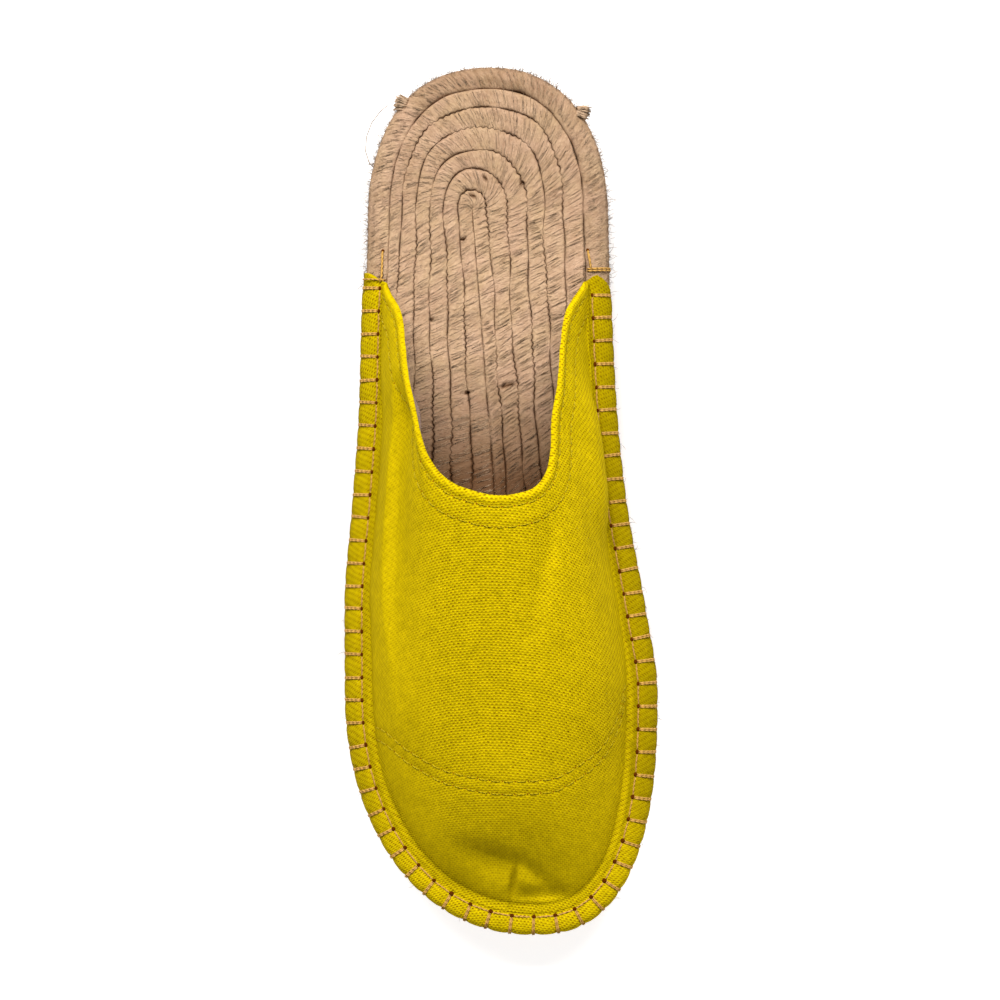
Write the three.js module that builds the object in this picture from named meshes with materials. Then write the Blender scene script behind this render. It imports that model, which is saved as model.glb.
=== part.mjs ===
// Espadrille mule for the right foot: a wound jute sole, an edge braid around it and a canvas upper
// whose out-turned hem lies on the braid. Millimetres, +Z up, +Y to the heel, +X to the inner side of
// the foot. The shoe stands empty on Z = 0, with the middle of its box over the origin.
import * as THREE from "three";
import { mergeVertices } from "three/addons/utils/BufferGeometryUtils.js";

// Sole: thickness, the rise of its underside at the toe, and where that rise starts
const SOLE_THICKNESS = 20;
const TOE_SPRING = 4;
const SPRING_START = -70;

// Sole outline: a rounded cap at each end, and the sides between them. A cap is a quarter of a
// superellipse on each side of its centre, with its own width and power there.
const HEEL_CAP = {
  x: -4.4,
  y: 90,
  reach: 50,
  lateral: 38.9,
  medial: 38.9,
  lateralPower: 2.3,
  medialPower: 2.3,
};
const TOE_CAP = {
  x: 10,
  y: -62,
  reach: -77,
  lateral: 59.9,
  medial: 40,
  lateralPower: 2.1,
  medialPower: 2.6,
};
const SIDES = [
  { y: -62, lateral: -49.9, medial: 50 },
  { y: -35, lateral: -50, medial: 46.2 },
  { y: 0, lateral: -47.4, medial: 40 },
  { y: 30, lateral: -45.3, medial: 36.9 },
  { y: 60, lateral: -44.5, medial: 35.4 },
  { y: 90, lateral: -43.3, medial: 34.5 },
];

// Wound core: the cord starts on a line between two points and takes this many turns to the edge
const CLEARANCE = 0.3;
const COIL_TURNS = 5.75;
const COIL_HEEL = { x: -9, y: 94 };
const COIL_TOE = { x: 6, y: -80 };
const GROOVE_DEPTH = 1.6;
const CORD_SHOULDER = 0.22;

// Edge braid: its section, as inset from the sole's outline and height from the underside, once
// around. Three rows of the plait bulge along the side.
const BRAID_WIDTH = 7.4;
const BRAID_SECTION = [
  { inset: 2.2, height: 0 },
  { inset: 0.8, height: 1.3 },
  { inset: 0, height: 3.9 },
  { inset: 0.8, height: 6.6 },
  { inset: 0, height: 9.3 },
  { inset: 0.8, height: 12 },
  { inset: 0, height: 14.6 },
  { inset: 0.8, height: 17.2 },
  { inset: 1.2, height: 18 },
  { inset: 3.5, height: 19.4 },
  { inset: 5.2, height: 20 },
  { inset: 7, height: 19.2 },
  { inset: BRAID_WIDTH, height: 18.2 },
  { inset: BRAID_WIDTH, height: 0 },
];

// Upper: wall, and the hem on the braid. A hem row has its inset from the sole's outline, its
// underside's lift over the footbed, and where it ends on each side of the foot.
const WALL = 1.4;
const HEM_THICKNESS = 1.8;
const HEM = [
  { inset: -1, lift: -3.4, lateralEnd: 73.5, medialEnd: 67 },
  { inset: 1.2, lift: -1.7, lateralEnd: 73.2, medialEnd: 70.5 },
  { inset: 3.5, lift: -0.3, lateralEnd: 72.3, medialEnd: 72.5 },
  { inset: 5.2, lift: CLEARANCE, lateralEnd: 71.4, medialEnd: 72 },
  { inset: 6.6, lift: CLEARANCE, lateralEnd: 70.5, medialEnd: 70.5 },
];

// Ridge of the last above the footbed, and how full each half of the section under it is
const RIDGE = [
  { y: -140, x: 9, height: 13, power: 1.5 },
  { y: -100, x: 9, height: 26, power: 1.55 },
  { y: -62, x: 8, height: 36, power: 1.9 },
  { y: -30, x: 5.5, height: 43.5, power: 2 },
  { y: 1, x: 3, height: 50, power: 2 },
  { y: 27, x: -1, height: 52, power: 1.75 },
  { y: 74, x: -3, height: 36, power: 1.5 },
];
const RIDGE_TOE_END = -88;

// Throat edge: how far up the wall it runs (0 at the hem, 1 at the ridge) and where along the foot
const THROAT = [
  { climb: 0, lateralEnd: 70.5, medialEnd: 70.5 },
  { climb: 0.12, lateralEnd: 69, medialEnd: 69.2 },
  { climb: 0.22, lateralEnd: 66.3, medialEnd: 66.5 },
  { climb: 0.33, lateralEnd: 61.9, medialEnd: 61.6 },
  { climb: 0.38, lateralEnd: 57.3, medialEnd: 56.9 },
  { climb: 0.42, lateralEnd: 48, medialEnd: 48 },
  { climb: 0.46, lateralEnd: 39.8, medialEnd: 37.5 },
  { climb: 0.52, lateralEnd: 30.7, medialEnd: 28 },
  { climb: 0.58, lateralEnd: 20.7, medialEnd: 16 },
  { climb: 0.65, lateralEnd: 12.9, medialEnd: 9 },
  { climb: 0.74, lateralEnd: 7, medialEnd: 4.6 },
  { climb: 0.82, lateralEnd: 4.1, medialEnd: 2.8 },
  { climb: 1, lateralEnd: 1.3, medialEnd: 1.3 },
];

// Soft dents in the unstuffed toe and along the flanks: centre, half sizes along and across, heading
// of the long side in degrees, and depth (a ridge is negative)
const DENTS = [
  { x: -3, y: -114, along: 12, across: 6, heading: -14, depth: 3.2 },
  { x: 3.6, y: -124, along: 8, across: 3, heading: 86, depth: 1.6 },
  { x: 9, y: -121, along: 7, across: 4, heading: 124, depth: -1.4 },
  { x: 36, y: -45, along: 55, across: 6, heading: 85, depth: 1.2 },
];

// Mesh steps
const SIDE_STEPS = 16;
const CAP_STEPS = 18;
const WALL_ROWS = 20;

const lerp = THREE.MathUtils.lerp;
const clamp = THREE.MathUtils.clamp;
const ORIGIN = new THREE.Vector2();

// A curve through one column of a table, level at both ends, that never overshoots the rows
function through(rows, key, column) {
  const secant = (i) => (rows[i + 1][column] - rows[i][column]) / (rows[i + 1][key] - rows[i][key]);
  const slopes = rows.map((row, i) => {
    if (i === 0 || i === rows.length - 1) return 0;
    const before = secant(i - 1);
    const after = secant(i);
    return before * after > 0 ? (2 * before * after) / (before + after) : 0;
  });
  return (value) => {
    const next = clamp(rows.findIndex((row) => row[key] > value), -1, rows.length - 1);
    if (next === 0) return rows[0][column];
    if (next < 0) return rows[rows.length - 1][column];
    const low = rows[next - 1];
    const high = rows[next];
    const span = high[key] - low[key];
    const t = (value - low[key]) / span;
    const bend = span * t * (1 - t) * ((1 - t) * slopes[next - 1] - t * slopes[next]);
    return lerp(low[column], high[column], t * t * (3 - 2 * t)) + bend;
  };
}

const sideAt = { lateral: through(SIDES, "y", "lateral"), medial: through(SIDES, "y", "medial") };
const ridgeX = through(RIDGE, "y", "x");
const ridgeHeight = through(RIDGE, "y", "height");
const ridgePower = through(RIDGE, "y", "power");
const throatEnd = {
  lateral: through(THROAT, "climb", "lateralEnd"),
  medial: through(THROAT, "climb", "medialEnd"),
};

const springRun = SPRING_START - TOE_CAP.y - TOE_CAP.reach;
const underside = (y) => TOE_SPRING * clamp((SPRING_START - y) / springRun, 0, 1) ** 2;
const footbed = (y) => underside(y) + SOLE_THICKNESS;

// A point of a cap's outline: angle 0 is where the side starts, a quarter turn is the cap's tip
function capPoint(cap, side, angle) {
  const rise = Math.sin(angle);
  const power = cap[`${side}Power`];
  const across = cap[side] * (1 - rise ** power) ** (1 / power);
  return new THREE.Vector2(cap.x + (side === "lateral" ? -across : across), cap.y + cap.reach * rise);
}

// The sole's outline once around, seen from above against the clock: station 0 to 1 is the lateral
// side from heel to toe, 1 to 2 the toe, 2 to 3 the medial side, 3 to 4 the heel
function outline(station) {
  const share = station - Math.floor(station);
  const stretch = Math.floor(station) % 4;
  if (stretch === 0 || stretch === 2) {
    const y = stretch === 0 ? lerp(HEEL_CAP.y, TOE_CAP.y, share) : lerp(TOE_CAP.y, HEEL_CAP.y, share);
    return new THREE.Vector2(sideAt[stretch === 0 ? "lateral" : "medial"](y), y);
  }
  const atToe = stretch === 1;
  const cap = atToe ? TOE_CAP : HEEL_CAP;
  const [first, second] = atToe ? ["lateral", "medial"] : ["medial", "lateral"];
  const angle = share * Math.PI;
  return angle <= Math.PI / 2 ? capPoint(cap, first, angle) : capPoint(cap, second, Math.PI - angle);
}

// The same point moved inwards, square to the outline
function insetOutline(station, inset) {
  const step = 0.004;
  const along = outline(station + step).sub(outline((station + 4 - step) % 4)).normalize();
  return outline(station).add(new THREE.Vector2(-along.y, along.x).multiplyScalar(inset));
}

// Stations around the whole sole, shared by the core and the braid so that they stay parallel
function soleStations() {
  const stations = [];
  for (let stretch = 0; stretch < 4; stretch += 1) {
    const steps = stretch % 2 === 0 ? SIDE_STEPS : CAP_STEPS;
    for (let i = 0; i < steps; i += 1) stations.push(stretch + i / steps);
  }
  return stations;
}

// Triangles of a grid of points, with rows along the first index, facing up or turned over
function skin(grid, turned) {
  const triangles = [];
  for (let i = 0; i + 1 < grid.length; i += 1) {
    for (let j = 0; j + 1 < grid[i].length; j += 1) {
      const corners = [grid[i][j], grid[i + 1][j], grid[i + 1][j + 1], grid[i][j + 1]];
      if (turned) corners.reverse();
      triangles.push([corners[0], corners[1], corners[2]], [corners[0], corners[2], corners[3]]);
    }
  }
  return triangles;
}

// One closed mesh from triangles: equal points become one, and triangles with no area are left out
function solid(name, triangles, look) {
  const soup = new THREE.BufferGeometry().setFromPoints(triangles.flat());
  const merged = mergeVertices(soup, 1e-3);
  const index = merged.index.array;
  const kept = [];
  for (let i = 0; i < index.length; i += 3) {
    const [a, b, c] = [index[i], index[i + 1], index[i + 2]];
    if (a !== b && b !== c && c !== a) kept.push(a, b, c);
  }
  merged.setIndex(kept);
  merged.computeVertexNormals();
  const mesh = new THREE.Mesh(merged, new THREE.MeshStandardMaterial({ metalness: 0, ...look }));
  mesh.name = name;
  return mesh;
}

// The core: one cord wound from the middle line outwards, with a groove between its turns
function soleCore() {
  const stations = soleStations();
  const count = stations.length;
  const rays = stations.map((station) => {
    const stretch = Math.floor(station);
    const toToe = [station, 1, 3 - station, 0][stretch];
    const start = new THREE.Vector2(
      lerp(COIL_HEEL.x, COIL_TOE.x, toToe),
      lerp(COIL_HEEL.y, COIL_TOE.y, toToe),
    );
    return { start, end: insetOutline(station, BRAID_WIDTH + CLEARANCE) };
  });
  const at = (k, share, heightAt, drop) => {
    const ray = rays[((k % count) + count) % count];
    const plan = ray.start.clone().lerp(ray.end, share);
    return new THREE.Vector3(plan.x, plan.y, heightAt(plan.y) - drop);
  };
  const groove = (k) => clamp(k / count / COIL_TURNS, 0, 1);
  const turns = [];
  for (let k = -count; k <= Math.ceil(count * COIL_TURNS); k += 1) {
    const inner = groove(k);
    const outer = groove(k + count);
    const drop = GROOVE_DEPTH * (1 - clamp((outer - inner) * COIL_TURNS, 0, 1));
    turns.push([
      at(k, inner, footbed, GROOVE_DEPTH),
      at(k, lerp(inner, outer, CORD_SHOULDER), footbed, drop),
      at(k, lerp(outer, inner, CORD_SHOULDER), footbed, drop),
      at(k, outer, footbed, GROOVE_DEPTH),
    ]);
  }
  const around = [...Array(count + 1).keys()];
  const side = around.map((k) => [at(k, 1, underside, 0), at(k, 1, footbed, GROOVE_DEPTH)]);
  const base = around.map((k) => [0, 0.5, 1].map((share) => at(k, share, underside, 0)));
  const triangles = [...skin(turns, true), ...skin(side, false), ...skin(base, false)];
  return solid("sole_core", triangles, { color: 0xc7a383, roughness: 0.95 });
}

// The edge braid: its section carried once around the outline
function edgeBraid() {
  const ring = [...soleStations(), 4].map((station) => {
    const points = [...BRAID_SECTION, BRAID_SECTION[0]].map(({ inset, height }) => {
      const plan = insetOutline(station % 4, inset);
      return new THREE.Vector3(plan.x, plan.y, underside(plan.y) + height);
    });
    return points;
  });
  return solid("edge_braid", skin(ring, false), { color: 0xb4926f, roughness: 0.95 });
}

// How far the slack canvas dips at a place in plan
function dip(plan) {
  return DENTS.reduce((sum, dent) => {
    const heading = THREE.MathUtils.degToRad(dent.heading);
    const away = new THREE.Vector2(plan.x - dent.x, plan.y - dent.y).rotateAround(ORIGIN, -heading);
    return sum + dent.depth * Math.exp(-((away.x / dent.along) ** 2) - (away.y / dent.across) ** 2);
  }, 0);
}

// The stations of one row of the upper, from its lateral end around the toe to its medial end
function upperStations(lateralEnd, medialEnd) {
  const length = HEEL_CAP.y - TOE_CAP.y;
  const first = (HEEL_CAP.y - lateralEnd) / length;
  const last = 2 + (medialEnd - TOE_CAP.y) / length;
  const stations = [];
  for (let i = 0; i < SIDE_STEPS; i += 1) stations.push(lerp(first, 1, i / SIDE_STEPS));
  for (let i = 0; i < CAP_STEPS; i += 1) stations.push(1 + i / CAP_STEPS);
  for (let i = 0; i <= SIDE_STEPS; i += 1) stations.push(lerp(2, last, i / SIDE_STEPS));
  return stations;
}

// A point of the wall's outside (thickness 0) or inside, at a station and a climb towards the ridge
function wallPoint(station, climb, thickness) {
  const foot = HEM[HEM.length - 1];
  const start = insetOutline(station, foot.inset + thickness);
  const lift = foot.lift + (thickness > 0 ? 0 : HEM_THICKNESS);
  const ridgeY = Math.max(outline(station).y, RIDGE_TOE_END);
  const round = 2 / ridgePower(ridgeY);
  const angle = (climb * Math.PI) / 2;
  const full = climb === 1 ? 1 : 1 - Math.cos(angle) ** round;
  const rise = Math.sin(angle) ** round;
  const plan = start.lerp(new THREE.Vector2(ridgeX(ridgeY), ridgeY), full);
  const crest = ridgeHeight(plan.y) - thickness - dip(plan);
  return new THREE.Vector3(plan.x, plan.y, footbed(plan.y) + lerp(lift, crest, rise));
}

// The upper: hem and wall as an outer and an inner skin, closed along the hem's edge and the throat
function upper() {
  const rows = [];
  for (const { inset, lift, lateralEnd, medialEnd } of HEM.slice(0, -1)) {
    const stations = upperStations(lateralEnd, medialEnd);
    const hem = (thickness) =>
      stations.map((station) => {
        const plan = insetOutline(station, inset);
        return new THREE.Vector3(plan.x, plan.y, footbed(plan.y) + lift + thickness);
      });
    rows.push({ outer: hem(HEM_THICKNESS), inner: hem(0) });
  }
  for (let row = 0; row <= WALL_ROWS; row += 1) {
    const climb = row / WALL_ROWS;
    const stations = upperStations(throatEnd.lateral(climb), throatEnd.medial(climb));
    const wall = (thickness) => stations.map((station) => wallPoint(station, climb, thickness));
    rows.push({ outer: wall(0), inner: wall(WALL) });
  }
  const columns = rows[0].outer.map((point, i) => i);
  const outer = columns.map((i) => rows.map((row) => row.outer[i]));
  const inner = columns.map((i) => rows.map((row) => row.inner[i]));
  const last = columns.length - 1;
  const hemEdge = columns.map((i) => [inner[i][0], outer[i][0]]);
  const lateralThroat = rows.map((row, j) => [outer[0][j], inner[0][j]]);
  const medialThroat = rows.map((row, j) => [inner[last][j], outer[last][j]]);
  const triangles = [
    ...skin(outer, false),
    ...skin(inner, true),
    ...skin(hemEdge, false),
    ...skin(lateralThroat, false),
    ...skin(medialThroat, false),
  ];
  return solid("upper", triangles, { color: 0xc3a903, roughness: 0.85, side: THREE.DoubleSide });
}

const shoe = new THREE.Group();
shoe.add(soleCore(), edgeBraid(), upper());
const middle = new THREE.Box3().setFromObject(shoe).getCenter(new THREE.Vector3());
shoe.position.set(-middle.x, -middle.y, 0);

export default shoe;
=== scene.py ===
"""Espadrille mule for the right foot: wound jute sole, edge braid, canvas upper and its sewing.

The shape functions work in millimetres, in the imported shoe's own frame: +X to the inner side of the
foot, +Y to the heel, +Z up. Every mesh is scaled to metres when it is finished.
"""

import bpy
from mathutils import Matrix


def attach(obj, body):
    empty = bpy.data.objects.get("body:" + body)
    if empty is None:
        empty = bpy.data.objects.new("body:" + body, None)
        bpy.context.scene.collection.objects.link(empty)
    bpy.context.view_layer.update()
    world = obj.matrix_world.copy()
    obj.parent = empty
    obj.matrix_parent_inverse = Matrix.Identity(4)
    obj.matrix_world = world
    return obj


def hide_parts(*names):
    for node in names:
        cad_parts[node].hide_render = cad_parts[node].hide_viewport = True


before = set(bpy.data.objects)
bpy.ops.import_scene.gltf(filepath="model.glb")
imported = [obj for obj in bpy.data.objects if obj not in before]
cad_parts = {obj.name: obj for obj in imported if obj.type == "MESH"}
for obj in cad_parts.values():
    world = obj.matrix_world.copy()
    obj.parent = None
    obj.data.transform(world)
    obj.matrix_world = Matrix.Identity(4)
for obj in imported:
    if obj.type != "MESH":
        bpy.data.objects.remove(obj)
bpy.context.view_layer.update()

import math
import random

import bmesh
import bpy
import numpy as np
from bpy.props import FloatProperty, FloatVectorProperty, IntProperty, PointerProperty
from mathutils import Matrix, Vector, noise
from mathutils.bvhtree import BVHTree
from mathutils.kdtree import KDTree

bl_info = {
    "name": "Espadrille Mule",
    "version": (1, 0, 0),
    "blender": (4, 5, 0),
    "location": "View3D > Sidebar > Espadrille",
    "description": "Dresses the packed espadrille mule in jute, canvas and thread",
    "category": "Object",
}

MM = 0.001

# Directions that a thread's section is squared with
UPRIGHT = (0.0, 0.0, 1.0)
SLANTED = (0.31, 0.83, 0.46)


def table(columns, *rows):
    """A short table as one array for each named column."""
    return dict(zip(columns.split(), np.array(rows, dtype=float).T))


# Sole outline: rounded caps at heel and toe, and the sides between them
CAP_COLUMNS = "x y reach lateral medial lateral_power medial_power"
HEEL_CAP = dict(zip(CAP_COLUMNS.split(), (-4.4, 90.0, 50.0, 38.9, 38.9, 2.3, 2.3)))
TOE_CAP = dict(zip(CAP_COLUMNS.split(), (10.0, -62.0, -77.0, 59.9, 40.0, 2.1, 2.6)))
SIDES = table(
    "y lateral medial",
    (-62, -49.9, 50),
    (-35, -50, 46.2),
    (0, -47.4, 40),
    (30, -45.3, 36.9),
    (60, -44.5, 35.4),
    (90, -43.3, 34.5),
)
SIDE_LENGTH = HEEL_CAP["y"] - TOE_CAP["y"]
SOLE_THICKNESS = 20.0
TOE_SPRING = 4.0
SPRING_START = -70.0

# Wound core
CLEARANCE = 0.3
COIL_TURNS = 5.75
COIL_HEEL = np.array((-9.0, 94.0))
COIL_TOE = np.array((6.0, -80.0))
COIL_STEPS = (0, 16, 34, 50, 68)
CORE_OVERLAP = 0.2

# One turn of cord: places across its top and below it, and how far the lower ones lie on its flat map
CORD_TOP = (-1, -0.92, -0.78, -0.45, 0, 0.45, 0.78, 0.92, 1)
CORD_BELOW = (0.96, 0.85, -0.85, -0.96)
CORD_SKIRT = np.array((10.0, 12.0, -12.0, -10.0))
CORD_CHAMFER = np.array((0.9, 0.0, 0.0, 0.9))
YARN_VALLEY = np.array((1.0, 0.36, 0.04, 0.04, 0.36))

# Edge braid: rows of plait on its side, and its middle line
BRAID_WIDTH = 7.4
BRAID_LINE_INSET = 3.0
BRAID_STEP = 0.42
PLAIT_ROWS, PLAIT_POINTS, PLAIT_HEIGHT, PLAIT_START = 3, 9, 5.35, 1.2
BRAID_UNDER = ((2.4, 0.0, 0, 1), (1.4, 0.35, 0, 1))
BRAID_INNER = ((BRAID_WIDTH, 16.0, 0, 1), (BRAID_WIDTH, 0.4, 0, 1), (7.0, 0.0, 0, 1), (2.4, 0.0, 0, 1))
BRAID_TOP = slice(len(BRAID_UNDER) + PLAIT_ROWS * PLAIT_POINTS, -len(BRAID_INNER))
BRAID_CROWN = 5.0
WEAR_MIDDLE, WEAR_HALF, WEAR_DEPTH = 3.5, 0.21, 0.5

# Gaps between yarn ends in the footbed: place and size
PITS = table(
    "x y size",
    (1.5, 36.8, 1.1),
    (4.1, 37.2, 0.9),
    (-10.7, 34.5, 0.8),
    (-4.7, 104, 0.9),
    (7, 102, 0.8),
    (-9, 98, 1.0),
    (-12, 84, 0.8),
    (-22, 58, 0.7),
)

# Hem: inset from the outline, lift of its top over the footbed, and its two ends along the foot
HEM_THICKNESS = 1.8
FEATHER_INSET = 6.6
HEM_TILTS = (-0.13, 0.34)
HEM_TILT_INSET = 5.0
HEM_LEVEL = (-128.0, -85.0)
HEM_UNDER = ((4.6, 0.0), (2.6, 0.0), (0.6, 0.0), (-0.7, 0.15), (-1.1, 0.5))
HEM_EDGE, HEM_ROWS = -0.9, 12
WALL_ROWS = 88
CANVAS_STEPS = (95, 240)
HEM = table(
    "inset lift lateral_end medial_end",
    (-1.0, -1.2, 73.5, 67.0),
    (0, 0.55, 73.4, 69.3),
    (1.2, 1.25, 73.2, 70.5),
    (3.5, 1.95, 72.3, 72.5),
    (5.2, 2.2, 71.4, 72.0),
    (6.6, 2.1, 70.5, 70.5),
)

# Ridge of the last over the footbed, and how full each half of the section under it is
RIDGE = table(
    "y x height power",
    (-140, 9, 13, 1.5),
    (-100, 9, 26, 1.55),
    (-62, 8, 36, 1.9),
    (-30, 5.5, 43.5, 2.0),
    (1, 3, 50, 2.0),
    (27, -1, 52, 1.75),
    (74, -3, 36, 1.5),
)
RIDGE_TOE_END = -88.0

# Slack of the wall: its lean inwards at each height over the hem, on the flanks, the bulge and the toe
SLACK = table(
    "up lateral medial bulge toe",
    (0, 0, 0, 0, 0),
    (1, 1.2, 0.9, -0.6, 2.5),
    (4, 1.6, 1.2, -1.9, 2.8),
    (10, 1.7, 1.3, -2.8, 2.7),
    (15, 1.9, 1.3, -2.7, 2.2),
    (18, 2.0, 1.25, -2.1, 1.7),
    (20, 2.3, 1.2, -1.6, 1.4),
    (21, 4.8, 1.15, -1.3, 1.25),
    (22.5, 5.9, 1.05, -0.8, 1.0),
    (26, 6.3, 0.85, -0.25, 0.6),
    (30, 5.7, 0.5, 0.05, 0.25),
    (36, 4.2, 0.2, 0.3, 0),
    (43, 1.9, 0, 0.2, 0),
    (50, 0, 0, 0, 0),
)
BULGE_MIDDLE, BULGE_HALF = 12.0, 22.0
FOLD_END = (44.0, 24.0)
TOE_SLACK = (-20.0, -75.0)
THROAT_HOLD = 20.0

# Throat edge: how far up the wall (0 at the hem, 1 at the ridge), and where along the foot
THROAT = table(
    "climb lateral_end medial_end",
    (0, 70.5, 70.5),
    (0.12, 69, 69.2),
    (0.22, 66.3, 66.5),
    (0.33, 61.9, 61.6),
    (0.38, 57.3, 56.9),
    (0.42, 48, 48),
    (0.46, 39.8, 37.5),
    (0.52, 30.7, 28),
    (0.58, 20.7, 16),
    (0.65, 12.9, 9),
    (0.74, 7, 4.6),
    (0.82, 4.1, 2.8),
    (1, 1.3, 1.3),
)

# Creases of the canvas: centre, half length, half widths to heel and toe, heading, depth (ridges below 0)
CREASES = table(
    "x y along above below heading depth",
    (-2.5, -113.6, 11, 3.4, 8, -19, 5.9),
    (-19, -119, 9, 5, 5, -35, 2),
    (4.4, -124, 7, 1.0, 0.9, 79, 4.5),
    (9, -121.5, 6, 2.6, 2.6, 124, -2.6),
    (13, -121, 10, 3, 4.5, -38, 3.2),
    (14.5, -126.8, 9, 2.8, 1.6, 1, 5),
    (36, -60, 40, 6, 6, 85, 0.9),
    (17, -18, 22, 4, 3.5, 79, 1.9),
)

# Turned throat edge: lift of the canvas at each distance from the edge
FOLD = table(
    "distance lift",
    (0, -0.9),
    (0.5, -0.05),
    (1.4, 0.36),
    (2.4, 0.3),
    (3.4, -0.16),
    (4.4, 0.1),
    (8.8, 0.1),
    (10, -0.1),
    (11.2, 0.02),
    (14, 0),
)
THROAT_ROWS = (3.6, 10.0)

# Two rows of stitching over the toe, in plan
TOE_ROW = table(
    "x y",
    (-39.5, -73),
    (-27.3, -80.1),
    (-14.5, -86),
    (3.7, -88.7),
    (17.4, -88),
    (27, -83.4),
    (34.1, -77.3),
    (38.9, -66.9),
    (41, -57),
)
TOE_ROW_GAP = 4.1
TOE_FURROW_DEPTH, TOE_FURROW_HALF = 0.18, 0.6

# Lining: depth under the canvas's outside, thickness, and how far it stays from the throat's edge
LINING_DEPTH, LINING_THICKNESS, LINING_GAP = 1.75, 0.3, 6.0
LINING_ROWS, LINING_STEPS = 40, 60
LINING_PITCH = 0.7

# Blanket stitch: ends along the foot, inset of its holes, and its path across the hem
STITCH_ENDS = (68.5, 66.0)
STITCH_LINE_INSET = 2.5
STITCH_INSET = 5.4
STITCH_PINCH, STITCH_PUFF = 0.22, 0.1
FURROW_DEPTHS = (0.1, 0.9)
FURROW_HALF = 0.8
STITCH_PATH = table(
    "inset lift",
    (5.5, -0.9),
    (5.1, -0.4),
    (4.4, 0.06),
    (3.3, 0.06),
    (1.9, 0.04),
    (0.6, 0.04),
    (-0.1, -0.1),
    (-0.42, -0.8),
    (-0.35, -1.9),
    (0.5, -2.8),
)

# Fastening threads behind the ends of the hem: their path over the braid, and two tails on the footbed
TIE_PATH = table(
    "inset level",
    (7.0, 18.6),
    (6.4, 20.0),
    (5.2, 20.4),
    (3.4, 20.0),
    (1.6, 19.0),
    (0.5, 18.2),
    (-0.45, 16.4),
    (-0.5, 14.5),
    (0.5, 13.2),
)
LATERAL_TAIL = table(
    "x y lift",
    (-37.9, 80.4, -0.9),
    (-38.0, 79.6, 0.0),
    (-38.1, 75.5, 0.1),
    (-38.2, 72.2, 0.5),
    (-38.6, 70.4, 1.6),
)
MEDIAL_TAIL = table(
    "x y lift",
    (28.3, 80.4, -0.9),
    (28.4, 79.6, 0.0),
    (28.9, 77.0, 0.1),
    (29.3, 74.6, 0.2),
    (29.6, 73.9, -0.6),
)

# Top stitches: a stitch's lift along it, and the radii of thread and hole
TOP_STITCH = table("share lift", (0, -0.3), (0.12, 0.08), (0.5, 0.2), (0.88, 0.08), (1, -0.3))
TOP_RADIUS, TOP_HOLE_RADIUS = 0.24, 0.36
THROAT_ENDS = 24

# Loose fibres: stations around the heel, radii, yarn ends, and the long fibre that loops out
HEEL_STRETCH, RIM_STRETCH = (2.86, 4.15), (2.86, 4.14)
EDGE_RADII = np.linspace(0.075, 0.0375, 5)
YARN_END_RADII = np.linspace(0.24, 0.12, 5)
FLAT_RADIUS, LOOP_RADIUS = 0.055, 0.17
YARN_ENDS = table("x y heading width", (-29.8, 127.6, 166.0, 3.2), (24.4, 125.6, -14.0, 2.6))
YARN_END_FIBRES, YARN_END_LENGTH = 90, 4.6
LOOP = table(
    "x y z",
    (-36.5, 127.5, 18.0),
    (-39, 125.5, 17.5),
    (-41.8, 122, 16.5),
    (-43.6, 117.5, 15.5),
    (-43.9, 113, 15.0),
    (-42.6, 109, 15.5),
    (-41, 107.6, 16.0),
)

# Stage, in metres
FLOOR_HALF, FLOOR_DROP = 2.5, 0.0002
SOFTBOX_SIZE, SOFTBOX_PLACE, SOFTBOX_AIM = (1.4, 0.9), (0.0, 1.0, 1.25), (0.0, 0.0, 0.03)
SKY_COLOUR = (1.0, 0.995, 0.985, 1.0)


def lerp(low, high, share):
    """Straight mix of two values."""
    return low + (high - low) * share


def unit(vectors):
    """Vectors brought to length 1."""
    return vectors / np.linalg.norm(vectors, axis=-1, keepdims=True)


def raised(plan, height):
    """Places in plan joined with their heights."""
    return np.concatenate((plan, height[..., None]), axis=-1)


def path_run(points):
    """Length run along a path up to each of its points."""
    return np.concatenate(([0.0], np.cumsum(np.linalg.norm(np.diff(points, axis=0), axis=-1))))


def at_run(lengths, run, path):
    """A path's columns at lengths along it."""
    return np.stack([np.interp(lengths, run, column) for column in np.transpose(path)], axis=-1)


def scaled(colour, factor):
    """A colour made lighter or darker."""
    return tuple(channel * factor for channel in colour)


def through(rows, key, column):
    """A curve through one column of a table, level at both ends, that never overshoots the rows."""
    keys, values = rows[key], rows[column]
    secants = np.diff(values) / np.diff(keys)
    before, after = secants[:-1], secants[1:]
    same_way = before * after > 0
    total = np.where(same_way, before + after, 1.0)
    slopes = np.concatenate(([0.0], np.where(same_way, 2 * before * after / total, 0.0), [0.0]))

    def curve(at):
        """The column's value at a key."""
        at = np.clip(at, keys[0], keys[-1])
        high = np.clip(np.searchsorted(keys, at, side="right"), 1, len(keys) - 1)
        span = keys[high] - keys[high - 1]
        t = (at - keys[high - 1]) / span
        bend = span * t * (1 - t) * ((1 - t) * slopes[high - 1] - t * slopes[high])
        return lerp(values[high - 1], values[high], t * t * (3 - 2 * t)) + bend

    return curve


side_lateral = through(SIDES, "y", "lateral")
side_medial = through(SIDES, "y", "medial")
ridge_x = through(RIDGE, "y", "x")
ridge_height = through(RIDGE, "y", "height")
ridge_power = through(RIDGE, "y", "power")
throat_lateral = through(THROAT, "climb", "lateral_end")
throat_medial = through(THROAT, "climb", "medial_end")
fold_lift = through(FOLD, "distance", "lift")
toe_row_y = through(TOE_ROW, "x", "y")
slack_curves = {key: through(SLACK, "up", key) for key in ("lateral", "medial", "bulge", "toe")}


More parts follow.
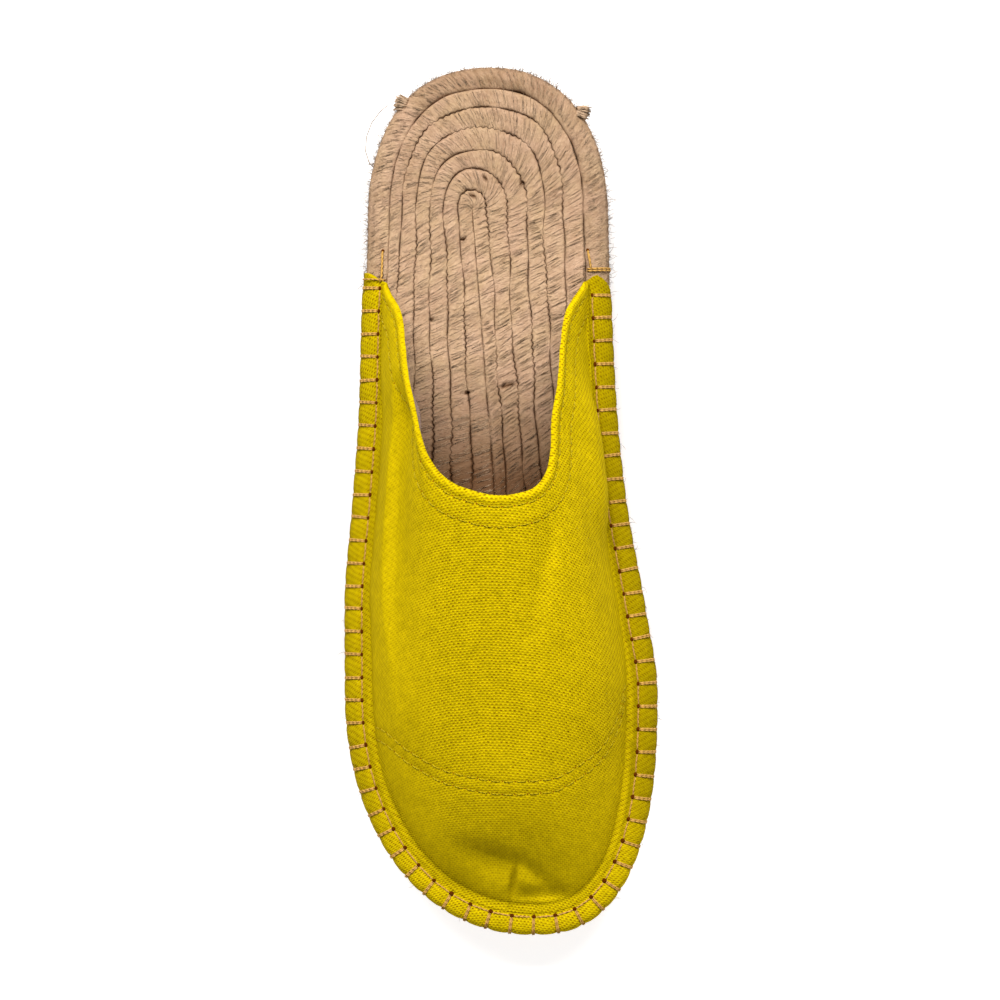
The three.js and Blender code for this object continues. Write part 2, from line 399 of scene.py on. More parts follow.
def underside(y):
    """Height of the sole's underside: flat, then rising to the toe."""
    run = SPRING_START - TOE_CAP["y"] - TOE_CAP["reach"]
    return TOE_SPRING * np.clip((SPRING_START - y) / run, 0, 1) ** 2


def footbed(y):
    """Height of the sole's top."""
    return underside(y) + SOLE_THICKNESS


def over_footbed(plan, lift):
    """Places in plan at a lift over the footbed."""
    return raised(plan, footbed(plan[..., 1]) + lift)


def cap_points(cap, angle, lateral_first):
    """Outline of a rounded end, from angle 0 on one side to half a turn on the other."""
    rise = np.sin(np.clip(angle, 0, math.pi))
    lateral = (angle <= math.pi / 2) == lateral_first
    power = np.where(lateral, cap["lateral_power"], cap["medial_power"])
    width = np.where(lateral, cap["lateral"], cap["medial"])
    across = width * np.clip(1 - rise**power, 0, 1) ** (1 / power)
    return cap["x"] + np.where(lateral, -across, across), cap["y"] + cap["reach"] * rise


def outline(station):
    """The sole's outline: 0 to 1 lateral side, to 2 the toe, to 3 the medial side, to 4 the heel."""
    station = np.mod(np.asarray(station, dtype=float), 4)
    stretch = np.floor(station)
    share = station - stretch
    down = lerp(HEEL_CAP["y"], TOE_CAP["y"], share)
    up = lerp(TOE_CAP["y"], HEEL_CAP["y"], share)
    toe_x, toe_y = cap_points(TOE_CAP, share * math.pi, True)
    heel_x, heel_y = cap_points(HEEL_CAP, share * math.pi, False)
    parts = [stretch == 0, stretch == 1, stretch == 2]
    x = np.select(parts, [side_lateral(down), toe_x, side_medial(up)], heel_x)
    y = np.select(parts, [down, toe_y, up], heel_y)
    return np.stack((x, y), axis=-1)


def outline_inward(station):
    """Unit direction square to the outline, towards the middle of the sole."""
    step = 0.004
    along = unit(outline(station + step) - outline(np.asarray(station) - step))
    return np.stack((-along[..., 1], along[..., 0]), axis=-1)


def inset_outline(station, inset):
    """The outline moved inwards."""
    return outline(station) + outline_inward(station) * np.asarray(inset)[..., None]


def lateral_station(y):
    """Station on the lateral side at a place along the foot."""
    return (HEEL_CAP["y"] - y) / SIDE_LENGTH


def medial_station(y):
    """Station on the medial side at a place along the foot."""
    return 2 + (y - TOE_CAP["y"]) / SIDE_LENGTH


def arc_table(inset, start, end):
    """Stations from start to end with the length run along the inset outline up to each."""
    stations = np.linspace(start, end, 4000)
    return stations, path_run(inset_outline(stations, np.full(len(stations), inset)))


def crease_depth(plan):
    """How far the slack canvas dips at a place in plan."""
    total = np.zeros(plan.shape[:-1])
    for x, y, along, above, below, heading, depth in zip(*CREASES.values()):
        turn = math.radians(heading)
        away = plan - np.array((x, y))
        run = away[..., 0] * math.cos(turn) + away[..., 1] * math.sin(turn)
        off = away[..., 1] * math.cos(turn) - away[..., 0] * math.sin(turn)
        total += depth * np.exp(-((run / along) ** 2) - (off / np.where(off > 0, above, below)) ** 2)
    return total


def ridge_points(station):
    """The place on the last's ridge that each station's section climbs to, in plan."""
    y = np.maximum(outline(station)[..., 1], RIDGE_TOE_END)
    return np.stack((ridge_x(y), y), axis=-1)


def smooth_share(value, low, high):
    """How far a value is from low to high, between 0 and 1, with soft ends."""
    share = np.clip((value - low) / (high - low), 0, 1)
    return share * share * (3 - 2 * share)


def slack_lean(foot, climb, up):
    """How far the slack wall leans inwards at a height over the hem."""
    y = foot[..., 1]
    lateral = foot[..., 0] < ridge_x(y)
    to_toe = smooth_share(y, *TOE_SLACK)
    bulge = np.exp(-(((y - BULGE_MIDDLE) / BULGE_HALF) ** 4))
    folded = slack_curves["lateral"](up) * smooth_share(y, *FOLD_END)
    flank = np.where(lateral, folded, lerp(slack_curves["medial"](up), slack_curves["bulge"](up), bulge))
    edge = np.where(lateral, throat_lateral(climb), throat_medial(climb))
    return lerp(flank, slack_curves["toe"](up), to_toe) * smooth_share(y, edge, edge - THROAT_HOLD)


def wall_points(station, climb, depth):
    """Points of the upper's wall, at a depth below the canvas's outside."""
    station, climb = np.broadcast_arrays(np.asarray(station, float), np.asarray(climb, float))
    foot = inset_outline(station, np.full(station.shape, FEATHER_INSET + depth))
    crest = ridge_points(station)
    rounding = 2 / ridge_power(crest[..., 1])
    angle = np.clip(climb, 0, 1) * math.pi / 2
    full = 1 - np.clip(np.cos(angle), 0, 1) ** rounding
    full = np.where(climb >= 1, 1.0, full)
    rise = np.sin(angle) ** rounding
    lean = slack_lean(foot, climb, rise * ridge_height(outline(station)[..., 1])) * (1 - rise**4)
    plan = lerp(foot, crest, full[..., None]) + unit(crest - foot) * lean[..., None]
    top = ridge_height(plan[..., 1]) - depth - crease_depth(plan)
    low = HEM["lift"][-1] - depth
    return over_footbed(plan, lerp(low, top, rise))


def row_stations(lateral_end, medial_end, side_steps, toe_steps):
    """Stations of one row of the upper, from its lateral end around the toe to its medial end."""
    lateral = np.linspace(lateral_station(lateral_end), 1, side_steps, endpoint=False)
    toe = np.linspace(1, 2, toe_steps, endpoint=False)
    medial = np.linspace(2, medial_station(medial_end), side_steps + 1)
    return np.concatenate((lateral, toe, medial))


def cloth_place(station, climb, further=0.0):
    """Where wall points lie on the flat canvas, across and along the foot, or places further out."""
    samples = 20
    steps = [wall_points(station, lerp(climb, 1.0, k / samples), 0.0) for k in range(samples + 1)]
    run = sum(np.linalg.norm(b - a, axis=-1) for a, b in zip(steps, steps[1:]))
    crest = ridge_points(station)
    out = unit(inset_outline(station, np.full(len(station), FEATHER_INSET)) - crest)
    return crest + out * (run + further)[:, None]


def rough(points, size, seed):
    """Smooth noise between -1 and 1 at each point, with bumps about that size."""
    shift = Vector((seed * 17.3, seed * 5.1, seed * 9.7))
    flat = points.reshape(-1, 3) / size
    values = [noise.noise(Vector(p) + shift) for p in flat]
    return np.array(values).reshape(points.shape[:-1])


def shaped_grid(bm, places, flat, depth=None, closed=False, starts=()):
    """A grid moved onto an array of places (columns, rows, xyz), with its own UV map.

    The depth of each place, if given, is kept as an attribute: the painted shade, and on the braid wear,
    that the material darkens by.
    A closed grid has equal first and last rows, and becomes a tube with filled ends; it is cut before each
    column in starts.
    """
    columns, rows = places.shape[0] - 1, places.shape[1] - 1
    verts = bmesh.ops.create_grid(bm, x_segments=columns, y_segments=rows, size=1.0)["verts"]
    spots = {}
    for vert in verts:
        spots[vert] = round((vert.co.x + 1) / 2 * columns), round((vert.co.y + 1) / 2 * rows)
    layer = bm.loops.layers.uv.verify()
    cut = []
    for face in {face for vert in verts for face in vert.link_faces}:
        for loop in face.loops:
            loop[layer].uv = flat[spots[loop.vert]]
        if max(spots[vert][0] for vert in face.verts) in starts:
            cut.append(face)
    for vert, spot in spots.items():
        vert.co = places[spot]
    if depth is not None:
        kept_depth = bm.verts.layers.float["depth"]
        for vert, spot in spots.items():
            vert[kept_depth] = depth[spot]
    if cut:
        bmesh.ops.delete(bm, geom=cut, context="FACES")
    if closed:
        bmesh.ops.remove_doubles(bm, verts=verts, dist=1e-5)
        kept = [vert for vert in verts if vert.is_valid]
        rims = {edge for vert in kept for edge in vert.link_edges if edge.is_boundary}
        bmesh.ops.holes_fill(bm, edges=list(rims), sides=0)


def tube_places(path, radius, sides):
    """Places of a round tube along a path; radius may vary along it."""
    path = np.asarray(path, dtype=float)
    along = unit(np.gradient(path, axis=0))
    steep = abs(along[:, 2]).max() > 0.9
    side = unit(np.cross(along, np.array(SLANTED if steep else UPRIGHT)))
    lift = np.cross(side, along)
    turn = np.linspace(0, 2 * math.pi, sides + 1)
    radius = np.broadcast_to(radius, len(path))[:, None, None]
    ring = side[:, None] * np.cos(turn)[None, :, None] + lift[:, None] * np.sin(turn)[None, :, None]
    return path[:, None] + radius * ring


def tubes(bm, paths, sides=6):
    """Closed round threads along paths, given with their radii, each with a UV map of length and turn."""
    places, flats, starts, count = [], [], set(), 0
    turn = np.linspace(0, 1, sides + 1)
    for path, radius in paths:
        starts.add(count)
        count += len(path)
        places.append(tube_places(path, radius, sides))
        run = path_run(path)
        flats.append(np.stack(np.broadcast_arrays(run[:, None] * MM, turn[None, :]), axis=-1))
    starts.discard(0)
    shaped_grid(bm, np.concatenate(places), np.concatenate(flats), closed=True, starts=starts)


def bead(bm, place, radius, fineness, flatness=1.0):
    """A small ball that stands for the shade of a needle hole."""
    verts = bmesh.ops.create_icosphere(bm, subdivisions=fineness, radius=radius)["verts"]
    bmesh.ops.scale(bm, vec=(1.0, 1.0, flatness), verts=verts)
    bmesh.ops.translate(bm, vec=place, verts=verts)


def finished(bm, name, material, replaces=None, recalc=True):
    """Turns a bmesh in millimetres into a shaded object in metres that rides on the shoe."""
    if not bm.faces:
        raise RuntimeError(f"{name} came out empty")
    if recalc:
        bmesh.ops.recalc_face_normals(bm, faces=bm.faces[:])
    bmesh.ops.scale(bm, vec=(MM, MM, MM), verts=bm.verts[:])
    for face in bm.faces:
        face.smooth = True
    mesh = bpy.data.meshes.new(name)
    bm.to_mesh(mesh)
    bm.free()
    piece = bpy.data.objects.new(name, mesh)
    bpy.context.scene.collection.objects.link(piece)
    mesh.materials.append(material)
    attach(piece, "root")
    if replaces:
        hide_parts(replaces)


def new_material(name, roughness, specular):
    """A fresh node material; returns it with its tree and its shader."""
    material = bpy.data.materials.new(name)
    material.use_nodes = True
    tree = material.node_tree
    shader = tree.nodes["Principled BSDF"]
    shader.inputs["Roughness"].default_value = roughness
    shader.inputs["Specular IOR Level"].default_value = specular
    return material, tree, shader


def joined(tree, socket, value):
    """Links a socket into an input, or sets a plain value on it."""
    if isinstance(value, bpy.types.NodeSocket):
        tree.links.new(value, socket)
    elif socket.type == "RGBA":
        socket.default_value = (*value[:3], 1.0)
    else:
        socket.default_value = value


def math_node(tree, operation, first, second=0.0, third=0.0):
    """One Math node; returns its result."""
    node = tree.nodes.new("ShaderNodeMath")
    node.operation = operation
    for socket, value in zip(node.inputs, (first, second, third)):
        joined(tree, socket, value)
    return node.outputs[0]


def blend_colours(tree, share, low, high, mode="MIX"):
    """One colour mix; returns its result."""
    node = tree.nodes.new("ShaderNodeMix")
    node.data_type = "RGBA"
    node.blend_type = mode
    joined(tree, node.inputs[0], share)
    joined(tree, node.inputs[6], low)
    joined(tree, node.inputs[7], high)
    return node.outputs[2]


def noise_node(tree, place, scale, detail=3.0, roughness=0.6):
    """One Noise texture; returns its value."""
    node = tree.nodes.new("ShaderNodeTexNoise")
    node.inputs["Scale"].default_value = scale
    node.inputs["Detail"].default_value = detail
    node.inputs["Roughness"].default_value = roughness
    joined(tree, node.inputs["Vector"], place)
    return node.outputs["Fac"]


def ranged(tree, value, low, high, to_low=0.0, to_high=1.0):
    """Maps a value from one range to another, clamped."""
    node = tree.nodes.new("ShaderNodeMapRange")
    ends = {"From Min": low, "From Max": high, "To Min": to_low, "To Max": to_high}
    for key, number in ends.items():
        node.inputs[key].default_value = number
    joined(tree, node.inputs["Value"], value)
    return node.outputs[0]


def vector_of(tree, x, y, z=0.0):
    """Joins three numbers into a vector."""
    node = tree.nodes.new("ShaderNodeCombineXYZ")
    for socket, value in zip(node.inputs, (x, y, z)):
        joined(tree, socket, value)
    return node.outputs[0]


def flat_place(tree):
    """The piece's own UV map, as its two numbers in metres."""
    return split_place(tree, tree.nodes.new("ShaderNodeUVMap").outputs[0])[:2]


def object_place(tree):
    """Object coordinates."""
    return tree.nodes.new("ShaderNodeTexCoord").outputs["Object"]


def split_place(tree, place):
    """The three numbers of a place."""
    node = tree.nodes.new("ShaderNodeSeparateXYZ")
    tree.links.new(place, node.inputs[0])
    return node.outputs


def mesh_shade_and_wear(tree):
    """The painted shade, and on the braid wear, that the mesh keeps at each vertex as its depth."""
    node = tree.nodes.new("ShaderNodeAttribute")
    node.attribute_name = "depth"
    return node.outputs["Fac"]


def faded(tree, value, middle, share):
    """A value drawn to its middle, less so as the share goes to 1."""
    return math_node(tree, "MULTIPLY_ADD", math_node(tree, "SUBTRACT", value, middle), share, middle)


def bump(tree, shader, height, distance):
    """Puts a height on a shader as bump."""
    node = tree.nodes.new("ShaderNodeBump")
    node.inputs["Strength"].default_value = 1.0
    node.inputs["Distance"].default_value = distance
    joined(tree, node.inputs["Height"], height)
    tree.links.new(node.outputs[0], shader.inputs["Normal"])


def plain_weave(tree, across, along, pitches):
    """Heights of a plain weave's warp and weft, the counts of their threads and their profiles."""
    warps = math_node(tree, "DIVIDE", across, pitches[0])
    wefts = math_node(tree, "DIVIDE", along, pitches[1])
    heights, counts, rounds = [], [], []
    for thread, run, phase in ((warps, wefts, -0.5), (wefts, warps, 0.5)):
        count = math_node(tree, "FLOOR", thread)
        turn = math_node(tree, "MULTIPLY", math_node(tree, "FRACT", thread), math.pi)
        crossing = math_node(tree, "ADD", math_node(tree, "ADD", run, phase), count)
        lift = math_node(tree, "COSINE", math_node(tree, "MULTIPLY", crossing, math.pi))
        lift = math_node(tree, "MULTIPLY_ADD", lift, 0.5, 0.5)
        rounds.append(math_node(tree, "SINE", turn))
        heights.append(math_node(tree, "MULTIPLY", rounds[-1], lift))
        counts.append(count)
    return heights, counts, rounds


def canvas_material(name, colour, shade, pitches):
    """Matt plain-weave cotton, worn smoother at the toe, with painted shade on sunk threads, between
    threads and where the mesh keeps it.
    """
    material, tree, shader = new_material(name, roughness=0.9, specular=0.01)
    across, along = flat_place(tree)
    place = object_place(tree)
    swayed = []
    for run, pitch, scale in zip((across, along), pitches, (110.0, 170.0)):
        sway = math_node(tree, "MULTIPLY_ADD", noise_node(tree, place, scale), 1.6 * pitch, -0.8 * pitch)
        swayed.append(math_node(tree, "ADD", run, sway))
    (warp, weft), counts, rounds = plain_weave(tree, *swayed, pitches)
    slubs = []
    for count, run in zip(counts, (along, across)):
        number = math_node(tree, "MULTIPLY", count, 7.31)
        spot = vector_of(tree, number, math_node(tree, "MULTIPLY", run, 220.0))
        slubs.append(noise_node(tree, spot, 1.0, detail=1.0))
    slub = math_node(tree, "ADD", slubs[0], slubs[1])
    height = math_node(tree, "MAXIMUM", math_node(tree, "MULTIPLY", warp, 0.95), weft)
    x, y, z = split_place(tree, place)
    by_toe = ranged(tree, y, -0.118, -0.075, 0.5, 1.0)
    by_side = ranged(tree, x, -0.03, -0.014, 0.45, 1.0)
    on_hem = ranged(tree, z, 0.0255, 0.0285, 1.0, 0.0)
    crisp = math_node(tree, "MAXIMUM", math_node(tree, "MULTIPLY", by_toe, by_side), on_hem)
    height = faded(tree, height, 0.6, crisp)
    under = math_node(tree, "SUBTRACT", rounds[1], weft)
    buried = math_node(tree, "MULTIPLY", math_node(tree, "POWER", rounds[1], 2.0), under)
    patchy = ranged(tree, noise_node(tree, place, 700.0), 0.35, 0.65, 0.5, 1.0)
    dip = math_node(tree, "MULTIPLY", ranged(tree, buried, 0.12, 0.7), patchy)
    # Painted shade: threads that sink under the others turn dark, and low places between threads blend to
    # the shade colour
    sunk_thread_shade = (colour[0] * 0.29, colour[1] * 0.15, colour[2])
    threads = blend_colours(tree, faded(tree, dip, 0.2, crisp), colour, sunk_thread_shade)
    base = blend_colours(tree, ranged(tree, height, 0.05, 0.6, 0.75, 1.0), shade, threads)
    uneven = ranged(tree, slub, 0.7, 1.3, 0.86, 1.14)
    cloudy = ranged(tree, noise_node(tree, place, 40.0), 0.3, 0.7, 0.96, 1.04)
    gain = math_node(tree, "MULTIPLY", uneven, cloudy)
    tinted = blend_colours(tree, 1.0, base, vector_of(tree, gain, gain, gain), "MULTIPLY")
    # Painted shade kept by the mesh: darker on the hem, under the lateral fold and in the toe's dent and
    # pinch
    base = blend_colours(tree, mesh_shade_and_wear(tree), tinted, scaled(shade, 0.6))
    tree.links.new(base, shader.inputs["Base Color"])
    fuzz = noise_node(tree, place, 2600.0, detail=2.0)
    relief = math_node(tree, "MULTIPLY_ADD", fuzz, 0.25, height)
    bump(tree, shader, math_node(tree, "MULTIPLY_ADD", slub, 0.3, relief), 0.00014)
    return material


def jute_material(name, light, dark, slant, coarse):
    """Coarse jute: long fibres that lean across the cord, darker with the painted shade, and on the braid
    wear, that the mesh keeps as depth.
    """
    material, tree, shader = new_material(name, roughness=0.9, specular=0.06)
    run, across = flat_place(tree)
    place = object_place(tree)
    lean, rise = math.cos(slant), math.sin(slant)
    over = math_node(tree, "MULTIPLY_ADD", run, lean, math_node(tree, "MULTIPLY", across, -rise))
    down = math_node(tree, "MULTIPLY_ADD", run, rise, math_node(tree, "MULTIPLY", across, lean))
    sway = math_node(tree, "MULTIPLY_ADD", noise_node(tree, place, 260.0), 0.0016, -0.0008)
    over = math_node(tree, "ADD", over, sway)

    def streaks(per_over, per_down, seed, detail):
        """Noise drawn out along the yarns."""
        x = math_node(tree, "MULTIPLY", over, per_over)
        y = math_node(tree, "MULTIPLY", down, per_down)
        return noise_node(tree, vector_of(tree, x, y, seed), 1.0, detail, 0.65)

    fibres = streaks(2200.0, 640.0, 0.0, 4.0)
    hairs = streaks(3300.0, 950.0, 7.0, 2.0)
    patchy = noise_node(tree, place, 150.0, detail=4.0)
    clouds = ranged(tree, patchy, 0.3, 0.7, -0.25, 0.25)
    tone = math_node(tree, "ADD", ranged(tree, fibres, 0.26, 0.74), clouds)
    base = blend_colours(tree, tone, dark, light)
    hue = noise_node(tree, place, 110.0)
    red = ranged(tree, hue, 0.35, 0.65, 0.985, 1.02)
    blue = ranged(tree, hue, 0.35, 0.65, 0.95, 1.05)
    base = blend_colours(tree, 1.0, base, vector_of(tree, red, 1.0, blue), "MULTIPLY")
    base = blend_colours(tree, ranged(tree, hairs, 0.57, 0.68, 0.0, 0.3), base, scaled(light, 1.35))
    dark_hairs = ranged(tree, hairs, 0.33, 0.43, 0.15 * coarse, 0.0)
    base = blend_colours(tree, dark_hairs, base, scaled(dark, 0.55))
    # Painted shade: the mesh's depth draws the jute towards this dark colour
    deepest_shade = (dark[0] * 0.3, dark[1] * 0.22, dark[2] * 0.16)
    base = blend_colours(tree, mesh_shade_and_wear(tree), base, deepest_shade)
    tree.links.new(base, shader.inputs["Base Color"])
    bump(tree, shader, math_node(tree, "MULTIPLY_ADD", hairs, 0.6, fibres), 0.00025 * coarse)
    return material


def thread_material(name, colour, twist):
    """Twisted sewing thread: plies along the thread's own length and turn, with painted shade between the
    plies.
    """
    material, tree, shader = new_material(name, roughness=0.75, specular=0.1)
    run, turn = flat_place(tree)
    plies = math_node(tree, "MULTIPLY_ADD", turn, 2.0, math_node(tree, "DIVIDE", run, twist))
    ply = math_node(tree, "SINE", math_node(tree, "MULTIPLY", plies, 2 * math.pi))
    spots = noise_node(tree, object_place(tree), 900.0)
    # Painted shade: darker in the grooves between the plies, lighter on their crowns
    tone = math_node(tree, "MULTIPLY_ADD", spots, 0.5, ranged(tree, ply, -1.0, 1.0, 0.0, 0.6))
    base = blend_colours(tree, tone, scaled(colour, 0.6), scaled(colour, 1.2))
    tree.links.new(base, shader.inputs["Base Color"])
    bump(tree, shader, ply, 0.00012)
    return material


def hole_shade_material(name, colour):
    """Painted shade of a needle hole: dark, with an uneven rim."""
    material, tree, shader = new_material(name, roughness=0.95, specular=0.0)
    spots = noise_node(tree, object_place(tree), 1500.0)
    base = blend_colours(tree, spots, scaled(colour, 0.5), scaled(colour, 1.6))
    tree.links.new(base, shader.inputs["Base Color"])
    bump(tree, shader, spots, 0.0002)
    return material


def floor_material(name, colour, painted_glow):
    """Plain pale studio floor that glows beyond the toe: painted light that washes out the toe's shadow.
    """
    material, tree, shader = new_material(name, roughness=0.9, specular=0.0)
    place = object_place(tree)
    faint = ranged(tree, noise_node(tree, place, 3.0), 0.3, 0.7, 0.99, 1.0)
    base = blend_colours(tree, 1.0, colour, vector_of(tree, faint, faint, faint), "MULTIPLY")
    tree.links.new(base, shader.inputs["Base Color"])
    # Painted light: emission grows beyond the toe where its shadow would fall
    toe_shadow_wash = ranged(tree, split_place(tree, place)[1], -0.05, -0.13, 0.0, painted_glow)
    shader.inputs["Emission Color"].default_value = (1.0, 1.0, 1.0, 1.0)
    tree.links.new(toe_shadow_wash, shader.inputs["Emission Strength"])
    return material


class JuteSettings(bpy.types.PropertyGroup):
    """Sizes and colours of the jute sole."""

    yarn_pitch: FloatProperty(
        name="Yarn Pitch",
        description="Width of one yarn along the cord",
        subtype="DISTANCE",
        default=0.0023,
        min=0.001,
    )
    yarn_slant: FloatProperty(
        name="Yarn Slant",
        description="Lean of the yarns across the cord",
        subtype="ANGLE",
        default=math.radians(27),
    )
    yarn_relief: FloatProperty(
        name="Yarn Relief",
        description="Depth of the dip between two yarns",
        subtype="DISTANCE",
        default=0.00026,
    )
    groove_depth: FloatProperty(
        name="Groove Depth",
        description="Depth between two turns of the cord",
        subtype="DISTANCE",
        default=0.001,
    )
    light: FloatVectorProperty(
        name="Light Jute",
        description="Pale side of the jute",
        subtype="COLOR",
        default=(0.475, 0.321, 0.203),
    )
    dark: FloatVectorProperty(
        name="Dark Jute",
        description="Dark side of the jute",
        subtype="COLOR",
        default=(0.315, 0.194, 0.111),
    )
    fibre_count: IntProperty(
        name="Loose Fibres",
        description="Stray fibres on the edge; the footbed gets twice as many",
        default=1500,
        min=0,
    )


class CanvasSettings(bpy.types.PropertyGroup):
    """Sizes and colours of the upper."""

    thickness: FloatProperty(
        name="Thickness", description="Thickness of the canvas", subtype="DISTANCE", default=0.0008
    )
    warp_pitch: FloatProperty(
        name="Warp Pitch",
        description="From one warp thread to the next",
        subtype="DISTANCE",
        default=0.000715,
    )
    weft_pitch: FloatProperty(
        name="Weft Pitch",
        description="From one weft thread to the next",
        subtype="DISTANCE",
        default=0.00086,
    )
    colour: FloatVectorProperty(
        name="Canvas", description="Colour of the threads", subtype="COLOR", default=(0.478, 0.353, 0.001)
    )
    shade: FloatVectorProperty(
        name="Shade", description="Colour between the threads", subtype="COLOR", default=(0.27, 0.19, 0.0)
    )
    lining: FloatVectorProperty(
        name="Lining", description="Colour of the lining", subtype="COLOR", default=(0.33, 0.236, 0.157)
    )


class StitchSettings(bpy.types.PropertyGroup):
    """Sizes and colours of the sewing."""

    spacing: FloatProperty(
        name="Spacing", description="Between blanket stitches", subtype="DISTANCE", default=0.00735
    )
    radius: FloatProperty(
        name="Radius", description="Radius of the sole thread", subtype="DISTANCE", default=0.00027
    )
    thread: FloatVectorProperty(
        name="Sole Thread",
        description="Colour of the blanket stitch",
        subtype="COLOR",
        default=(0.5, 0.275, 0.062),
    )
    # Painted shade of a needle hole
    hole: FloatVectorProperty(
        name="Needle Hole",
        description="Colour of a needle hole",
        subtype="COLOR",
        default=(0.07, 0.017, 0.001),
    )
    top_length: FloatProperty(
        name="Top Stitch", description="Length of a top stitch", subtype="DISTANCE", default=0.0041
    )


class StageSettings(bpy.types.PropertyGroup):
    """Camera, floor and light."""

    camera_height: FloatProperty(
        name="Camera Height", description="Height over the floor", subtype="DISTANCE", default=1.3
    )
    camera_offset: FloatVectorProperty(
        name="Camera Offset",
        description="Where the camera hangs, from the shoe's middle",
        size=2,
        unit="LENGTH",
        default=(0.079, -0.003),
    )
    framed: FloatProperty(
        name="Framed",
        description="Height of the picture at the sole",
        subtype="DISTANCE",
        default=0.322,
    )
    floor: FloatVectorProperty(
        name="Floor", description="Colour of the floor", subtype="COLOR", default=(0.84, 0.835, 0.83)
    )
    # Painted light: how strongly the floor glows beyond the toe to wash out its shadow
    painted_glow: FloatProperty(name="Glow", description="Light from under the floor", default=0.7)
    sky: FloatProperty(name="Sky", description="Strength of the even light", default=0.33)
    key: FloatProperty(name="Key", description="Power of the large lamp", unit="POWER", default=61.0)


def settings():
    """All settings of the shoe."""
    return bpy.context.scene.espadrille


def coil_plan(turn, share):
    """Place in plan of the winding at a turn, at a share of the way from the middle line to the edge."""
    station = np.interp(np.mod(turn, 1.0) * COIL_STEPS[-1], COIL_STEPS, (0, 1, 2, 3, 4))
    to_toe = np.interp(station, (0, 1, 2, 3, 4), (0, 1, 1, 0, 0))
    start = lerp(COIL_HEEL, COIL_TOE, to_toe[..., None])
    end = inset_outline(station, np.full(station.shape, BRAID_WIDTH + CLEARANCE - CORE_OVERLAP))
    return lerp(start, end, share[..., None])


def coil_share(turn):
    """How far out the groove at a turn lies, from the middle line to the edge, with the hand's wobble."""
    even = np.linspace(0, COIL_TURNS, 5000)
    run = np.interp(turn, even, path_run(coil_plan(even, even / COIL_TURNS)))
    yarns = run / (settings().jute.yarn_pitch / MM) + 0.8 * np.sin(run / 11)
    tuck = np.abs(np.mod(yarns, 1.0) - 0.5) - 0.25
    wave = 0.3 * np.sin(run / 7.3) + 0.22 * np.sin(run / 3.1 + 1.3) + 0.3 * np.sin(run / 17.0 + 0.5)
    inside = np.clip(turn, 0, COIL_TURNS) / COIL_TURNS
    free = np.clip(inside * (1 - inside) * 14, 0, 1)
    return np.clip(inside + ((0.7 + 0.6 * np.sin(run / 9.1)) * tuck + wave) / 34 * free, 0, 1)


